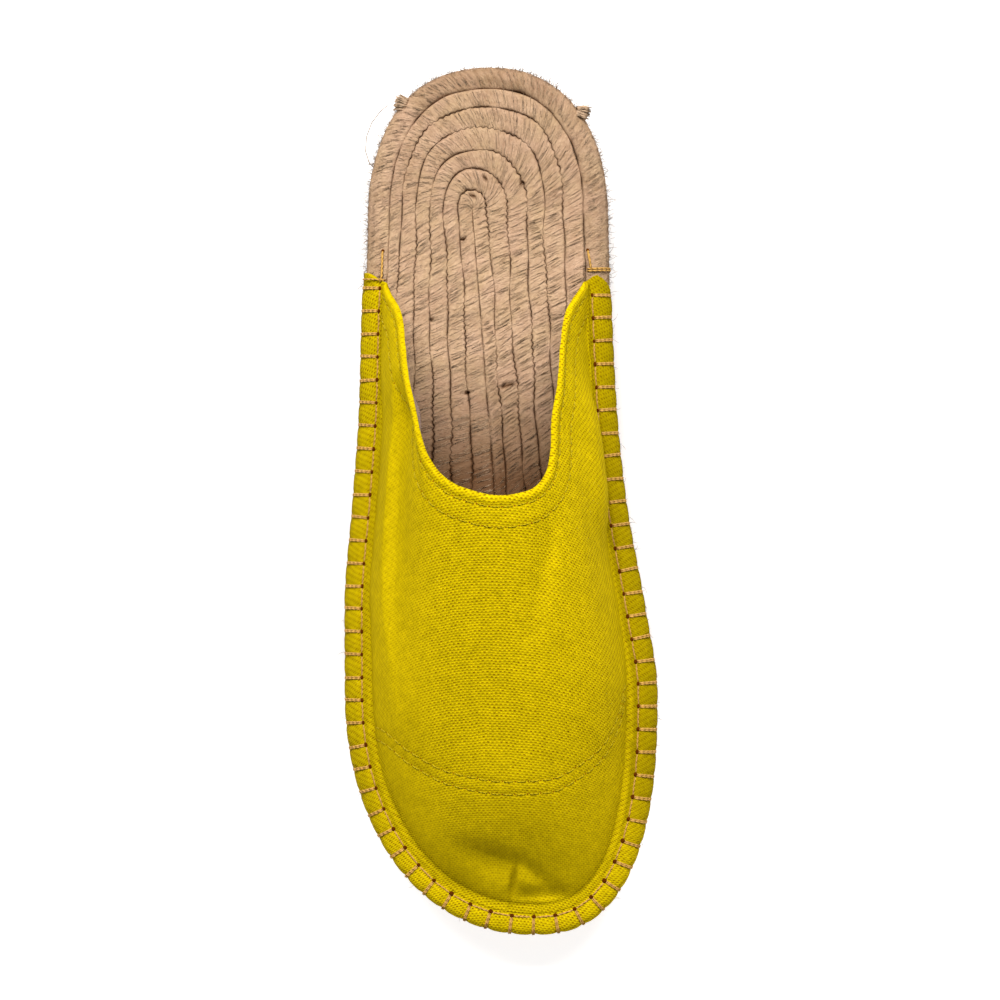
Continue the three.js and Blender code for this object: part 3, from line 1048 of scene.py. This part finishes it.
def cord_places():
    """Places of the wound cord, column by column along its yarns, with its flat places and its painted
    shade as depths.
    """
    jute = settings().jute
    draw = np.random.default_rng(4)
    fine = np.linspace(-0.98, COIL_TURNS - 0.02, 6000)
    run = path_run(coil_plan(fine, (coil_share(fine) + coil_share(fine + 1)) / 2))
    pitch, slant = jute.yarn_pitch / MM, math.tan(jute.yarn_slant)
    columns = np.arange(int(run[-1] / pitch * len(YARN_VALLEY)) + 1)
    line = columns * pitch / len(YARN_VALLEY)
    yarn = columns // len(YARN_VALLEY)
    across = np.array(CORD_TOP + CORD_BELOW + CORD_TOP[:1])
    below = slice(len(CORD_TOP), -1)
    middle = np.interp(line, run, fine)
    inner = coil_plan(middle, coil_share(middle))
    width = np.linalg.norm(coil_plan(middle, coil_share(middle + 1)) - inner, axis=-1)
    offset = across[None, :] * width[:, None] / 2
    shift = np.interp(line / pitch, np.arange(yarn[-1] + 2), draw.normal(0, 0.22, yarn[-1] + 2))
    turn = np.interp(np.clip(line[:, None] + shift[:, None] + slant * offset, 0, run[-1]), run, fine)
    low, high = coil_share(turn), coil_share(turn + 1)
    plan = coil_plan(turn, lerp(low, high, (across * 0.985 + 1) / 2))
    full = np.clip((high - low) * COIL_TURNS, 0, 1)
    groove = 1 - full**0.3 * (1 - np.abs(across) ** 12)
    groove = np.where(across < 0, groove * np.clip(turn * 4 + 1, 0, 1), groove)
    dip = YARN_VALLEY[columns % len(YARN_VALLEY)] * (0.3 + draw.uniform(0, 1, yarn[-1] + 1) ** 4)[yarn]
    proud = draw.normal(0, 0.06, yarn[-1] + 1)[yarn]
    solid = raised(plan, np.zeros(plan.shape[:2]))
    uneven = 0.3 * rough(solid, 7.0, 3)
    pits = np.zeros(plan.shape[:2])
    for x, y, size in zip(*PITS.values()):
        away = np.linalg.norm((plan - np.array((x, y))) / (1.1, 0.75), axis=-1)
        pits += np.exp(-((away / size) ** 6))
    worn = np.clip(0.6 + rough(solid, 5.0, 6) * 1.3, 0.08, 1.0)
    dip = dip[:, None] * np.clip(0.75 + 0.8 * np.roll(uneven, 40, axis=0) / 0.3, 0.15, 1.2)
    sunk = (jute.groove_depth * groove * worn + jute.yarn_relief * dip) / MM
    lift = np.minimum(proud, 0.15)[:, None] - sunk + np.minimum(uneven, 0.1)
    solid = over_footbed(plan, lift - 0.25 - 1.6 * np.clip(pits, 0, 1))
    solid[:, below, 2] = underside(plan[:, below, 1]) + CORD_CHAMFER
    girth = offset.copy()
    girth[:, below] = offset[:, [len(CORD_TOP) - 1] * 2 + [0] * 2] + CORD_SKIRT
    flat = np.stack((line[:, None] + slant * offset, girth), axis=-1)
    under_upper = np.clip((46 - plan[..., 1]) / 40, 0, 1)
    at_heel = np.clip((plan[..., 1] - 80) / 20, 0, 1)
    shade = 0.92 * under_upper + 0.14 * at_heel
    shade[:, below] = 0
    # Painted shade: darker in the grooves, between the yarns, in the pits, under the upper and at the heel
    depth = np.clip(0.7 * groove**1.3 * worn + 0.12 * dip + 1.1 * pits + shade, 0, 1)
    return solid, flat * MM, depth


class SHOE_OT_wound_sole(bpy.types.Operator):
    """Winds the jute cord of the footbed"""

    bl_idname = "shoe.wound_sole"
    bl_label = "Wound Sole"

    def execute(self, context):
        jute = settings().jute
        bm = bmesh.new()
        bm.verts.layers.float.new("depth")
        shaped_grid(bm, *cord_places(), closed=True)
        look = jute_material("jute_cord", jute.light, jute.dark, jute.yarn_slant, coarse=1.7)
        finished(bm, "wound_sole", look, replaces="sole_core")
        return {"FINISHED"}


def braid_section():
    """Section of the edge braid once around: inset, height, how much its yarns show, and their lean."""
    points = list(BRAID_UNDER)
    for row in range(PLAIT_ROWS):
        for share in (np.arange(PLAIT_POINTS) + 0.5) / PLAIT_POINTS:
            bulge = math.sqrt(1 - (2 * share - 1) ** 2)
            height = PLAIT_START + PLAIT_HEIGHT * (row + share)
            points.append((0.95 * (1 - bulge), height, bulge, 1 - 2 * (row % 2)))
    drop = SOLE_THICKNESS - PLAIT_START - PLAIT_HEIGHT * PLAIT_ROWS
    for share in np.arange(1, 17) / 16:
        inset = lerp(0.75, 7.35, share)
        outer = SOLE_THICKNESS - drop * (np.clip(BRAID_CROWN - inset, 0, None) / 4.25) ** 2.3
        height = outer - (np.clip(inset - BRAID_CROWN, 0, None) / 2.35) ** 5
        points.append((inset, height, min(1.0, 6 * share, 4 * (1 - share) + 0.2), 1))
    return np.array(points + list(BRAID_INNER))


def heel_wear(station):
    """How worn the braid's top is: most around the back of the heel."""
    return np.exp(-(((station - WEAR_MIDDLE) / WEAR_HALF) ** 8))


def braid_places():
    """Places of the edge braid, section by section along it, with its flat places and its painted shade
    and wear as depths.
    """
    jute = settings().jute
    draw = np.random.default_rng(8)
    stations, run = arc_table(BRAID_LINE_INSET, 0.0, 4.0)
    line = np.linspace(0, run[-1], int(run[-1] / BRAID_STEP) + 1)[:, None]
    station = np.interp(line, run, stations)
    section = braid_section()
    inset, height, shows, lean = section.T
    tangent = np.gradient(section[:, :2], axis=0)
    outward = unit(np.stack((-tangent[:, 1], tangent[:, 0]), axis=-1))
    girth = path_run(section[:, :2])
    yarns = round(run[-1] / (jute.yarn_pitch / MM * 1.1))
    lay = (line + lean * math.tan(jute.yarn_slant) * girth) / (run[-1] / yarns)
    lay = lay + 0.16 * np.sin(lay * 2.1 + girth * 0.4) * np.sin(math.pi * station / 4) ** 0.2
    strength = draw.uniform(0.5, 1.3, yarns * 4)[np.floor(lay).astype(int) % (yarns * 4)]
    valley = 1 - np.sqrt(np.abs(np.sin(math.pi * lay)))
    relief = -(0.34 * valley * strength + 0.12 + 0.12 * np.sin(line * 0.19 + girth)) * shows
    uneven = np.sin(line / 5.3) + 0.7 * np.sin(line / 2.3 + 1) + 0.5 * np.sin(line / 1.1)
    uneven *= np.clip(np.minimum(station, 4 - station) * 8, 0, 1)
    on_top = height > 15
    lip = np.clip((inset - 5.6) / 1.7, 0, 1) * on_top
    plan_inset = inset + relief * outward[:, 0] + (0.16 * uneven + 0.22) * lip
    plan = inset_outline(np.broadcast_to(station, plan_inset.shape), plan_inset)
    worn = heel_wear(station)
    level = underside(plan[..., 1]) + height + relief * outward[:, 1]
    solid = raised(plan, level + (0.22 * uneven * lip - WEAR_DEPTH * worn) * on_top)
    solid[-1] = solid[0]
    shaded = 0.14 * smooth_share(station, 2.5, 2.9) * smooth_share(station, 3.9, 3.5)
    inner = (inset > 7.3) & (height > 1)
    # Painted shade between the yarns, on the hidden inner side and from the medial side round the heel;
    # darker too where the top is worn
    depth = 0.02 + shaded + 0.3 * valley * strength * shows + 0.24 * worn + 0.4 * inner
    flat = np.stack(np.broadcast_arrays(line, -girth * lean), axis=-1)
    return solid, flat * MM, np.clip(depth, 0, 1)


class SHOE_OT_edge_braid(bpy.types.Operator):
    """Lays the outer turn of jute around the sole"""

    bl_idname = "shoe.edge_braid"
    bl_label = "Edge Braid"

    def execute(self, context):
        jute = settings().jute
        bm = bmesh.new()
        bm.verts.layers.float.new("depth")
        shaped_grid(bm, *braid_places(), closed=True)
        look = jute_material("jute_braid", jute.light, jute.dark, jute.yarn_slant, coarse=2.2)
        finished(bm, "edge_braid_jute", look, replaces="edge_braid")
        return {"FINISHED"}


def stitch_line():
    """Stations of the blanket stitches, the stations and run along the hem, and the spacing."""
    ends = lateral_station(STITCH_ENDS[0]), medial_station(STITCH_ENDS[1])
    stations, run = arc_table(STITCH_LINE_INSET, *ends)
    count = round(run[-1] * MM / settings().stitch.spacing)
    return np.interp(np.linspace(0, run[-1], count + 1), run, stations), stations, run, run[-1] / count


def hem_lift(inset, y):
    """Lift of the hem's top over the footbed; it slopes down to its edge on the flanks, not at the toe."""
    inset = np.clip(inset, HEM["inset"][0], HEM["inset"][-1])
    tilt = lerp(*HEM_TILTS, smooth_share(y, *HEM_LEVEL))
    return np.interp(inset, HEM["inset"], HEM["lift"]) - tilt * np.clip(HEM_TILT_INSET - inset, 0, None)


def hem_furrow(inset, y):
    """Depth of the furrow that the sewing pulls into the hem, shallow at the toe."""
    depth = lerp(*FURROW_DEPTHS, smooth_share(y, *HEM_LEVEL))
    return depth * np.exp(-(((inset - STITCH_INSET) / FURROW_HALF) ** 2))


def throat_line(samples):
    """The throat's edge from the lateral hem end over the ridge to the medial one."""
    climb = 1 - (1 - np.linspace(0, 1, samples)) ** 1.4
    lateral = wall_points(lateral_station(throat_lateral(climb)), climb, 0.0)
    medial = wall_points(medial_station(throat_medial(climb)), climb, 0.0)
    return np.concatenate((lateral, medial[::-1][1:]))


def nearest_distance(points, line):
    """Distance of each point from a line of points."""
    tree = KDTree(len(line))
    for k, point in enumerate(line):
        tree.insert(point, k)
    tree.balance()
    flat = points.reshape(-1, 3)
    return np.array([tree.find(p)[2] for p in flat]).reshape(points.shape[:-1])


def hem_row(inset, thickness, steps):
    """One row of the hem, pinched at each stitch, with its places on the flat cloth."""
    ends = [np.interp(inset, HEM["inset"], HEM[key]) for key in ("lateral_end", "medial_end")]
    station = row_stations(*ends, *steps)
    _, stations, run, spacing = stitch_line()
    pinch = np.abs(np.cos(math.pi * np.interp(station, stations, run) / spacing)) ** 6
    edge = np.clip((3.0 - inset) / 4.0, 0, 1)
    plan = inset_outline(station, inset + (0.45 + 0.4 * pinch) * edge)
    puff = STITCH_PUFF * (1 - pinch) * np.clip((6.4 - inset) / 1.5, 0, 1) * thickness
    lift = hem_lift(inset, plan[:, 1]) - HEM_THICKNESS * (1 - thickness)
    lift += puff - (STITCH_PINCH * pinch + hem_furrow(inset, plan[:, 1])) * thickness
    out = FEATHER_INSET - inset + 4 * (1 - thickness)
    return over_footbed(plan, lift), cloth_place(station, 0.0, out)


def wall_row(climb, depth, gap, steps):
    """One row of the wall, or of a layer below it, with its places on the flat cloth."""
    station = row_stations(throat_lateral(climb) - gap, throat_medial(climb) - gap, *steps)
    return wall_points(station, climb, depth), cloth_place(station, climb)


def joined_rows(rows):
    """Places and flat places of a grid, from its rows."""
    places, flats = zip(*rows)
    return np.stack(places, axis=1), np.stack(flats, axis=1)


def canvas_rows(steps):
    """Places and flat places of the canvas's outside, from the turned-under hem to the ridge."""
    insets = np.linspace(HEM_EDGE, FEATHER_INSET, HEM_ROWS + 1)[:-1]
    hem = HEM_UNDER + tuple((inset, 1.0) for inset in insets)
    rows = [hem_row(inset, thickness, steps) for inset, thickness in hem]
    rows += [wall_row(k / WALL_ROWS, 0.0, 0.0, steps) for k in range(WALL_ROWS + 1)]
    places, flat = joined_rows(rows)
    flat[..., 1] += 0.006 * flat[..., 0] ** 2
    return places, flat


def sew_ridge(bm):
    """Joins the two halves of the canvas along the ridge."""
    bmesh.ops.remove_doubles(bm, verts=bm.verts[:], dist=0.004)
    bmesh.ops.recalc_face_normals(bm, faces=bm.faces[:])


def canvas_painted_shade(x, y, z, on_wall):
    """Painted shade on the canvas: its hem, the band under the lateral fold, the dent and the pinch."""
    hem = np.where(x > 0, 0.56, 0.28) * smooth_share(y, *HEM_LEVEL)
    band = 0.14 * ((x < -30) & (z < footbed(y) + 20.5)) * np.exp(-(((y - 5) / 28) ** 4))
    dent = 0.35 * np.exp(-(((x + 12) / 9) ** 2) - ((y + 121) / 5) ** 2)
    off_pinch = x - 4.4 - 0.19 * (y + 124)
    pinch = 0.45 * np.exp(-((off_pinch / 0.6) ** 2)) * smooth_share(y, -115, -119)
    return np.where(on_wall, band + dent + pinch, hem)


def upper_surface():
    """The canvas's outside as a bmesh with its folds, stitch furrows and slack, and the painted shade that
    each vertex keeps.
    """
    places, flat = canvas_rows(CANVAS_STEPS)
    bm = bmesh.new()
    # Layer that keeps the canvas's painted shade
    painted_shade_layer = bm.verts.layers.float.new("depth")
    shaped_grid(bm, places, flat * MM)
    sew_ridge(bm)
    bm.normal_update()
    if sum(face.normal.z * face.calc_area() for face in bm.faces) < 0:
        bmesh.ops.reverse_faces(bm, faces=bm.faces[:])
        bm.normal_update()
    spots = np.array([vert.co[:] for vert in bm.verts])
    x, y, z = spots.T
    on_wall = z > footbed(y) + HEM["lift"][-1] + 0.3
    lift = fold_lift(nearest_distance(spots, throat_line(900)))
    inside = (x > TOE_ROW["x"][0]) & (x < TOE_ROW["x"][-1])
    for row in range(2):
        gap = np.abs(y - toe_row_y(x) + row * TOE_ROW_GAP) * 0.85
        lift -= inside * TOE_FURROW_DEPTH * np.exp(-((gap / TOE_FURROW_HALF) ** 2))
    lift += 0.3 * rough(spots, 22.0, 1) + 0.16 * rough(spots, 9.0, 2)
    # Each vertex keeps painted shade: on the hem, under the lateral fold, in the toe's dent and along the
    # pinch
    for vert, rise, dark in zip(bm.verts, lift * on_wall, canvas_painted_shade(x, y, z, on_wall)):
        vert.co += vert.normal * float(rise)
        vert[painted_shade_layer] = dark
    bm.normal_update()
    return bm


class SHOE_OT_canvas_upper(bpy.types.Operator):
    """Makes the canvas upper with its hem, and the lining"""

    bl_idname = "shoe.canvas_upper"
    bl_label = "Canvas Upper"

    def execute(self, context):
        canvas = settings().canvas
        bm = upper_surface()
        bmesh.ops.solidify(bm, geom=bm.faces[:], thickness=canvas.thickness / MM)
        pitches = canvas.warp_pitch, canvas.weft_pitch
        look = canvas_material("mustard_canvas", canvas.colour, canvas.shade, pitches)
        finished(bm, "canvas_upper", look, replaces="upper", recalc=False)
        self.line_inside(canvas)
        return {"FINISHED"}

    def line_inside(self, canvas):
        """The lining: a thin shell just inside the canvas."""
        climbs = [lerp(0.01, 1.0, k / LINING_ROWS) for k in range(LINING_ROWS + 1)]
        steps = LINING_STEPS, LINING_STEPS
        places, flat = joined_rows([wall_row(climb, LINING_DEPTH, LINING_GAP, steps) for climb in climbs])
        bm = bmesh.new()
        shaped_grid(bm, places, flat * MM)
        sew_ridge(bm)
        bmesh.ops.solidify(bm, geom=bm.faces[:], thickness=LINING_THICKNESS)
        pitches = canvas.warp_pitch * LINING_PITCH, canvas.weft_pitch * LINING_PITCH
        look = canvas_material("beige_lining", canvas.lining, scaled(canvas.lining, 0.7), pitches)
        finished(bm, "cotton_lining", look, recalc=False)


def hem_path(station, insets, lifts):
    """A path across the hem at one station, from insets and heights over the hem's top."""
    plan = inset_outline(np.full(len(insets), station), insets)
    lift = hem_lift(insets, plan[:, 1]) - hem_furrow(insets, plan[:, 1])
    return over_footbed(plan, lift + lifts)


class SHOE_OT_blanket_stitch(bpy.types.Operator):
    """Sews the hem to the edge braid, with dark beads as the painted shade of its needle holes"""

    bl_idname = "shoe.blanket_stitch"
    bl_label = "Blanket Stitch"

    def execute(self, context):
        stitch = settings().stitch
        radius = stitch.radius / MM
        places, *_ = stitch_line()
        draw = random.Random(11)
        threads, holes = [], bmesh.new()
        for place in places:
            lean = draw.uniform(-0.5, 0.5)
            along = np.append(unit(outline(place + 0.002) - outline(place - 0.002)), 0.0)
            for side in (-1, 1):
                path = hem_path(place, *STITCH_PATH.values())
                path += along * (side * radius * 0.85 + lean * np.linspace(0, 1, len(path))[:, None])
                threads.append((path, radius * draw.uniform(0.85, 1.1)))
            spot = hem_path(place, np.array((STITCH_INSET,)), -0.2)[0]
            # A dark bead as the painted shade of the needle hole
            bead(holes, spot, draw.uniform(0.68, 0.88), fineness=2, flatness=0.6)
        self.run_line(threads, places, radius)
        self.tie_ends(threads, holes, radius)
        tan = thread_material("tan_thread", stitch.thread, twist=0.0016)
        dark = hole_shade_material("needle_hole_shade", stitch.hole)
        bm = bmesh.new()
        tubes(bm, threads)
        finished(bm, "blanket_stitch", tan)
        finished(holes, "needle_holes", dark)
        return {"FINISHED"}

    def run_line(self, threads, places, radius):
        """The thread that runs from hole to hole along the foot of the wall."""
        per_stitch = 8
        beat = np.arange((len(places) - 1) * per_stitch + 1) / per_stitch
        stations = np.interp(beat, np.arange(len(places)), places)
        plan = inset_outline(stations, 5.35 + 0.15 * np.sin(math.pi * beat) ** 2)
        dive = 0.75 * np.abs(np.cos(math.pi * beat)) ** 8
        lift = HEM["lift"][-1] - hem_furrow(STITCH_INSET, plan[:, 1]) + 0.28 - dive
        threads.append((over_footbed(plan, lift), radius * 0.95))

    def tie_ends(self, threads, holes, radius):
        """The fastening threads behind each end of the hem."""
        for tail in (LATERAL_TAIL, MEDIAL_TAIL):
            path = np.column_stack((tail["x"], tail["y"], SOLE_THICKNESS + 0.35 + tail["lift"]))
            threads.append((path, radius * 1.3))
            # A dark bead as the painted shade of the tail's hole
            bead(holes, path[0], 0.65, fineness=2)
        stations = lateral_station(71.3), medial_station(73.9), medial_station(74.6)
        for station, over in zip(stations, (1.8, 0.2, 0.1)):
            plan = inset_outline(np.full(len(TIE_PATH["inset"]), station), TIE_PATH["inset"])
            threads.append((raised(plan, TIE_PATH["level"] + over), radius))


def surface_row(surface, points, from_above):
    """Places and normals on a surface nearest to a line of points, or straight below them."""
    found = []
    for point in points:
        if from_above:
            spot, normal, *_ = surface.ray_cast(Vector((point[0], point[1], 200.0)), Vector((0, 0, -1)))
        else:
            spot, normal, *_ = surface.find_nearest(Vector(point))
        if spot is not None:
            found.append((*spot, *normal))
    return np.array(found)


class SHOE_OT_top_stitch(bpy.types.Operator):
    """Sews the double rows at the throat and over the toe"""

    bl_idname = "shoe.top_stitch"
    bl_label = "Top Stitch"

    def execute(self, context):
        bm = upper_surface()
        surface = BVHTree.FromBMesh(bm)
        edge = throat_line(400)
        rows = [self.beside(surface, edge, distance) for distance in THROAT_ROWS]
        x = np.linspace(TOE_ROW["x"][0], TOE_ROW["x"][-1], 300)
        for row in range(2):
            y = toe_row_y(x) - row * TOE_ROW_GAP
            rows.append(surface_row(surface, np.stack((x, y), axis=-1), True))
        bm.free()
        threads, holes = [], bmesh.new()
        for row in rows:
            self.sew(threads, holes, row)
        bm = bmesh.new()
        tubes(bm, threads, sides=5)
        thread = thread_material("yellow_thread", scaled(settings().canvas.colour, 0.86), twist=0.0012)
        finished(bm, "top_stitch", thread)
        # Dark beads as the painted shade of the top stitch holes
        dark = hole_shade_material("top_stitch_hole_shade", scaled(settings().stitch.hole, 2.4))
        finished(holes, "top_stitch_holes", dark)
        return {"FINISHED"}

    def beside(self, surface, edge, distance):
        """A row on the surface at one distance from the throat's edge."""
        kept = edge[THROAT_ENDS:-THROAT_ENDS]
        away = surface_row(surface, kept + np.array((0.0, -6.0, -1.0)), False)[:, :3] - kept
        along = unit(np.gradient(kept, axis=0))
        away = unit(away - along * np.sum(away * along, axis=-1, keepdims=True))
        places = kept + away * distance
        for _ in range(4):
            row = surface_row(surface, places, False)
            error = distance - nearest_distance(row[:, :3], edge)
            places = row[:, :3] + away * error[:, None]
        return surface_row(surface, places, False)

    def sew(self, threads, holes, row):
        """One row of stitches along places with normals."""
        length = settings().stitch.top_length / MM
        run = path_run(row[:, :3])
        for k in range(int(run[-1] / length)):
            path = at_run((k + 0.12 + 0.76 * TOP_STITCH["share"]) * length, run, row)
            threads.append((path[:, :3] + path[:, 3:] * TOP_STITCH["lift"][:, None], TOP_RADIUS))
            spot = at_run((k + 0.02) * length, run, row)
            bead(holes, spot[:3] - spot[3:] * 0.2, TOP_HOLE_RADIUS, fineness=1)


class SHOE_OT_loose_fibres(bpy.types.Operator):
    """Lays stray jute fibres on the edge, the rim and the footbed"""

    bl_idname = "shoe.loose_fibres"
    bl_label = "Loose Fibres"

    def execute(self, context):
        jute = settings().jute
        draw = random.Random(5)
        edge = []
        for _ in range(jute.fibre_count):
            heel = draw.random() < 0.75
            station = draw.uniform(*HEEL_STRETCH) if heel else draw.uniform(0.0, 4.0)
            high = draw.uniform(12.5, 18.5) if heel else draw.uniform(2.0, 15.0)
            length = draw.uniform(0.7, 1.9) if draw.random() < 0.75 else draw.uniform(1.9, 4.2)
            edge.append(self.hair(draw, station, draw.uniform(0.2, 0.8), high, length))
        edge.append((np.column_stack(list(LOOP.values())), LOOP_RADIUS))
        ends = [fibre for end in zip(*YARN_ENDS.values()) for fibre in self.yarn_end(draw, *end)]
        flat = self.lie_on_footbed(draw) + self.lie_on_rim(draw)
        self.lay("loose_fibres", edge, 3, scaled(jute.dark, 0.9))
        self.lay("yarn_ends", ends, 6, jute.light)
        self.lay("footbed_fibres", flat, 3, scaled(jute.light, 1.05))
        return {"FINISHED"}

    def lay(self, name, paths, sides, colour):
        """One piece of fibres in one colour."""
        bm = bmesh.new()
        tubes(bm, paths, sides=sides)
        finished(bm, name, thread_material(name, colour, twist=0.004))

    def hair(self, draw, station, inset, height, length):
        """One curved fibre that leaves the braid at a station."""
        start = inset_outline(np.array(station), np.array(inset))
        out = -outline_inward(np.array(station))
        heading = math.atan2(out[1], out[0]) + draw.gauss(0, 0.9)
        rise, curl = draw.gauss(0.1, 0.35), draw.gauss(0, 0.9)
        path = [np.array((*start, height + float(underside(start[1]))))]
        for k in range(4):
            turn = heading + curl * k / 3
            step = np.array((math.cos(turn), math.sin(turn), rise - 0.12 * k)) * length / 4
            path.append(path[-1] + step)
        path = np.array(path)
        path[:, 2] = np.maximum(path[:, 2], 0.2)
        return path, EDGE_RADII

    def yarn_end(self, draw, x, y, heading, width):
        """Fibres side by side that stick out of the edge."""
        turn = math.radians(heading)
        ahead = np.array((math.cos(turn), math.sin(turn)))
        beside = np.array((-ahead[1], ahead[0]))
        steps = np.linspace(0, 1, 5)[:, None]
        fibres = []
        for _ in range(YARN_END_FIBRES):
            off, splay = draw.uniform(-0.5, 0.5), draw.gauss(0, 0.1)
            course = (ahead + beside * (splay + 0.3 * off)) * YARN_END_LENGTH * draw.uniform(0.7, 1.05)
            plan = np.array((x, y)) + beside * off * width + course * steps
            heights = draw.uniform(17.6, 19.3) - 2.5 * (1 - steps) ** 6 - 1.2 * steps**2
            fibres.append((np.hstack((plan, heights)), YARN_END_RADII))
        return fibres

    def lie_on_footbed(self, draw):
        """Short fibres that lie along the yarns of the footbed."""
        solid = cord_places()[0][:, :len(CORD_TOP)]
        seen = np.nonzero(solid[:, len(CORD_TOP) // 2, 1] > -6)[0]
        hairs = []
        for _ in range(settings().jute.fibre_count * 2):
            column = int(draw.choice(seen))
            start = draw.uniform(0.3, 4.5)
            at = np.linspace(start, min(8.0, start + draw.uniform(2.0, 4.5)), 5)
            path = at_run(at, np.arange(len(CORD_TOP)), solid[column])
            drift = draw.gauss(0, 0.5)
            path[:, :2] += np.linspace(0, drift, 5)[:, None] * np.array((0.3, 1.0))
            path[:, 2] += 0.04 + draw.uniform(0, 0.16) * np.sin(np.linspace(0, math.pi, 5))
            hairs.append((path, FLAT_RADIUS))
        return hairs

    def lie_on_rim(self, draw):
        """Short fibres that lie along the yarns on top of the edge braid, behind the canvas."""
        jute = settings().jute
        stations, run = arc_table(BRAID_LINE_INSET, 0.0, 4.0)
        inset, height = braid_section()[BRAID_TOP, :2].T
        hairs = []
        for _ in range(jute.fibre_count // 3):
            start = draw.uniform(0.7, 5.6)
            at = np.linspace(start, min(6.9, start + draw.uniform(1.2, 3.2)), 5)
            begin = np.interp(draw.uniform(*RIM_STRETCH) % 4, stations, run)
            lean = math.tan(jute.yarn_slant + draw.gauss(0, 0.12))
            station = np.interp((begin - lean * (at - start)) % run[-1], run, stations)
            plan = inset_outline(station, at)
            arch = draw.uniform(-0.05, 0.1) * np.sin(np.linspace(0, math.pi, 5))
            level = np.interp(at, inset, height) - WEAR_DEPTH * heel_wear(station) - 0.12 + arch
            hairs.append((raised(plan, underside(plan[:, 1]) + level), FLAT_RADIUS))
        return hairs


class SHOE_OT_stage(bpy.types.Operator):
    """Sets the floor, the light and the camera"""

    bl_idname = "shoe.stage"
    bl_label = "Stage"

    def execute(self, context):
        stage = settings().stage
        context.scene.view_settings.view_transform = "Standard"
        self.lay_floor(context.scene, stage)
        self.hang_lights(context.scene, stage)
        self.aim_camera(context.scene, stage)
        return {"FINISHED"}

    def lay_floor(self, scene, stage):
        """A wide floor just under the shoe."""
        bm = bmesh.new()
        made = bmesh.ops.create_grid(bm, x_segments=8, y_segments=8, size=FLOOR_HALF)
        bmesh.ops.translate(bm, vec=(0, 0, -FLOOR_DROP), verts=made["verts"])
        mesh = bpy.data.meshes.new("floor")
        bm.to_mesh(mesh)
        bm.free()
        floor = bpy.data.objects.new("floor", mesh)
        mesh.materials.append(floor_material("pale_floor", stage.floor, stage.painted_glow))
        scene.collection.objects.link(floor)

    def hang_lights(self, scene, stage):
        """Even light from all around, and a large lamp behind the heel."""
        world = bpy.data.worlds.new("studio")
        world.use_nodes = True
        background = world.node_tree.nodes["Background"]
        background.inputs["Color"].default_value = SKY_COLOUR
        background.inputs["Strength"].default_value = stage.sky
        scene.world = world
        lamp = bpy.data.lights.new("softbox", "AREA")
        lamp.shape, lamp.energy = "RECTANGLE", stage.key
        lamp.size, lamp.size_y = SOFTBOX_SIZE
        softbox = bpy.data.objects.new("softbox", lamp)
        softbox.location = SOFTBOX_PLACE
        aim = Vector(SOFTBOX_AIM) - softbox.location
        softbox.rotation_euler = aim.to_track_quat("-Z", "Y").to_euler()
        scene.collection.objects.link(softbox)

    def aim_camera(self, scene, stage):
        """A camera over the shoe that frames a set height at the sole."""
        view = bpy.data.cameras.new("camera")
        camera = bpy.data.objects.new("camera", view)
        camera.location = (*stage.camera_offset, stage.camera_height)
        away = Vector((0.0, 0.0, SOLE_THICKNESS * MM)) - camera.location
        right = away.cross(Vector((0, 1, 0))).normalized()
        turned = Matrix((right, right.cross(away).normalized(), -away.normalized())).transposed()
        camera.rotation_euler = turned.to_euler()
        view.lens = view.sensor_width * away.length / stage.framed
        view.clip_end = 20.0
        scene.collection.objects.link(camera)
        scene.camera = camera


OPERATORS = (
    SHOE_OT_wound_sole,
    SHOE_OT_edge_braid,
    SHOE_OT_canvas_upper,
    SHOE_OT_blanket_stitch,
    SHOE_OT_top_stitch,
    SHOE_OT_loose_fibres,
    SHOE_OT_stage,
)


class ShoeSettings(bpy.types.PropertyGroup):
    """Settings of the whole shoe."""

    jute: PointerProperty(type=JuteSettings)
    canvas: PointerProperty(type=CanvasSettings)
    stitch: PointerProperty(type=StitchSettings)
    stage: PointerProperty(type=StageSettings)


class SHOE_PT_panel(bpy.types.Panel):
    """Lists the pieces of the shoe"""

    bl_idname = "SHOE_PT_panel"
    bl_label = "Espadrille Mule"
    bl_space_type = "VIEW_3D"
    bl_region_type = "UI"
    bl_category = "Espadrille"

    def draw(self, context):
        for operator in OPERATORS:
            self.layout.operator(operator.bl_idname)
        for group in ("jute", "canvas", "stitch", "stage"):
            box = self.layout.box()
            box.label(text=group.title())
            part = getattr(context.scene.espadrille, group)
            for key in part.__annotations__:
                box.prop(part, key)


CLASSES = (
    JuteSettings,
    CanvasSettings,
    StitchSettings,
    StageSettings,
    ShoeSettings,
    *OPERATORS,
    SHOE_PT_panel,
)


def register():
    """Adds the classes and the shoe's settings."""
    for cls in CLASSES:
        bpy.utils.register_class(cls)
    bpy.types.Scene.espadrille = PointerProperty(type=ShoeSettings)


def unregister():
    """Takes the settings and the classes away."""
    del bpy.types.Scene.espadrille
    for cls in reversed(CLASSES):
        bpy.utils.unregister_class(cls)


def main():
    """Makes the whole shoe and its stage."""
    register()
    bpy.ops.shoe.wound_sole()
    bpy.ops.shoe.edge_braid()
    bpy.ops.shoe.canvas_upper()
    bpy.ops.shoe.blanket_stitch()
    bpy.ops.shoe.top_stitch()
    bpy.ops.shoe.loose_fibres()
    bpy.ops.shoe.stage()
    bpy.context.view_layer.update()


if __name__ == "__main__":
    main()
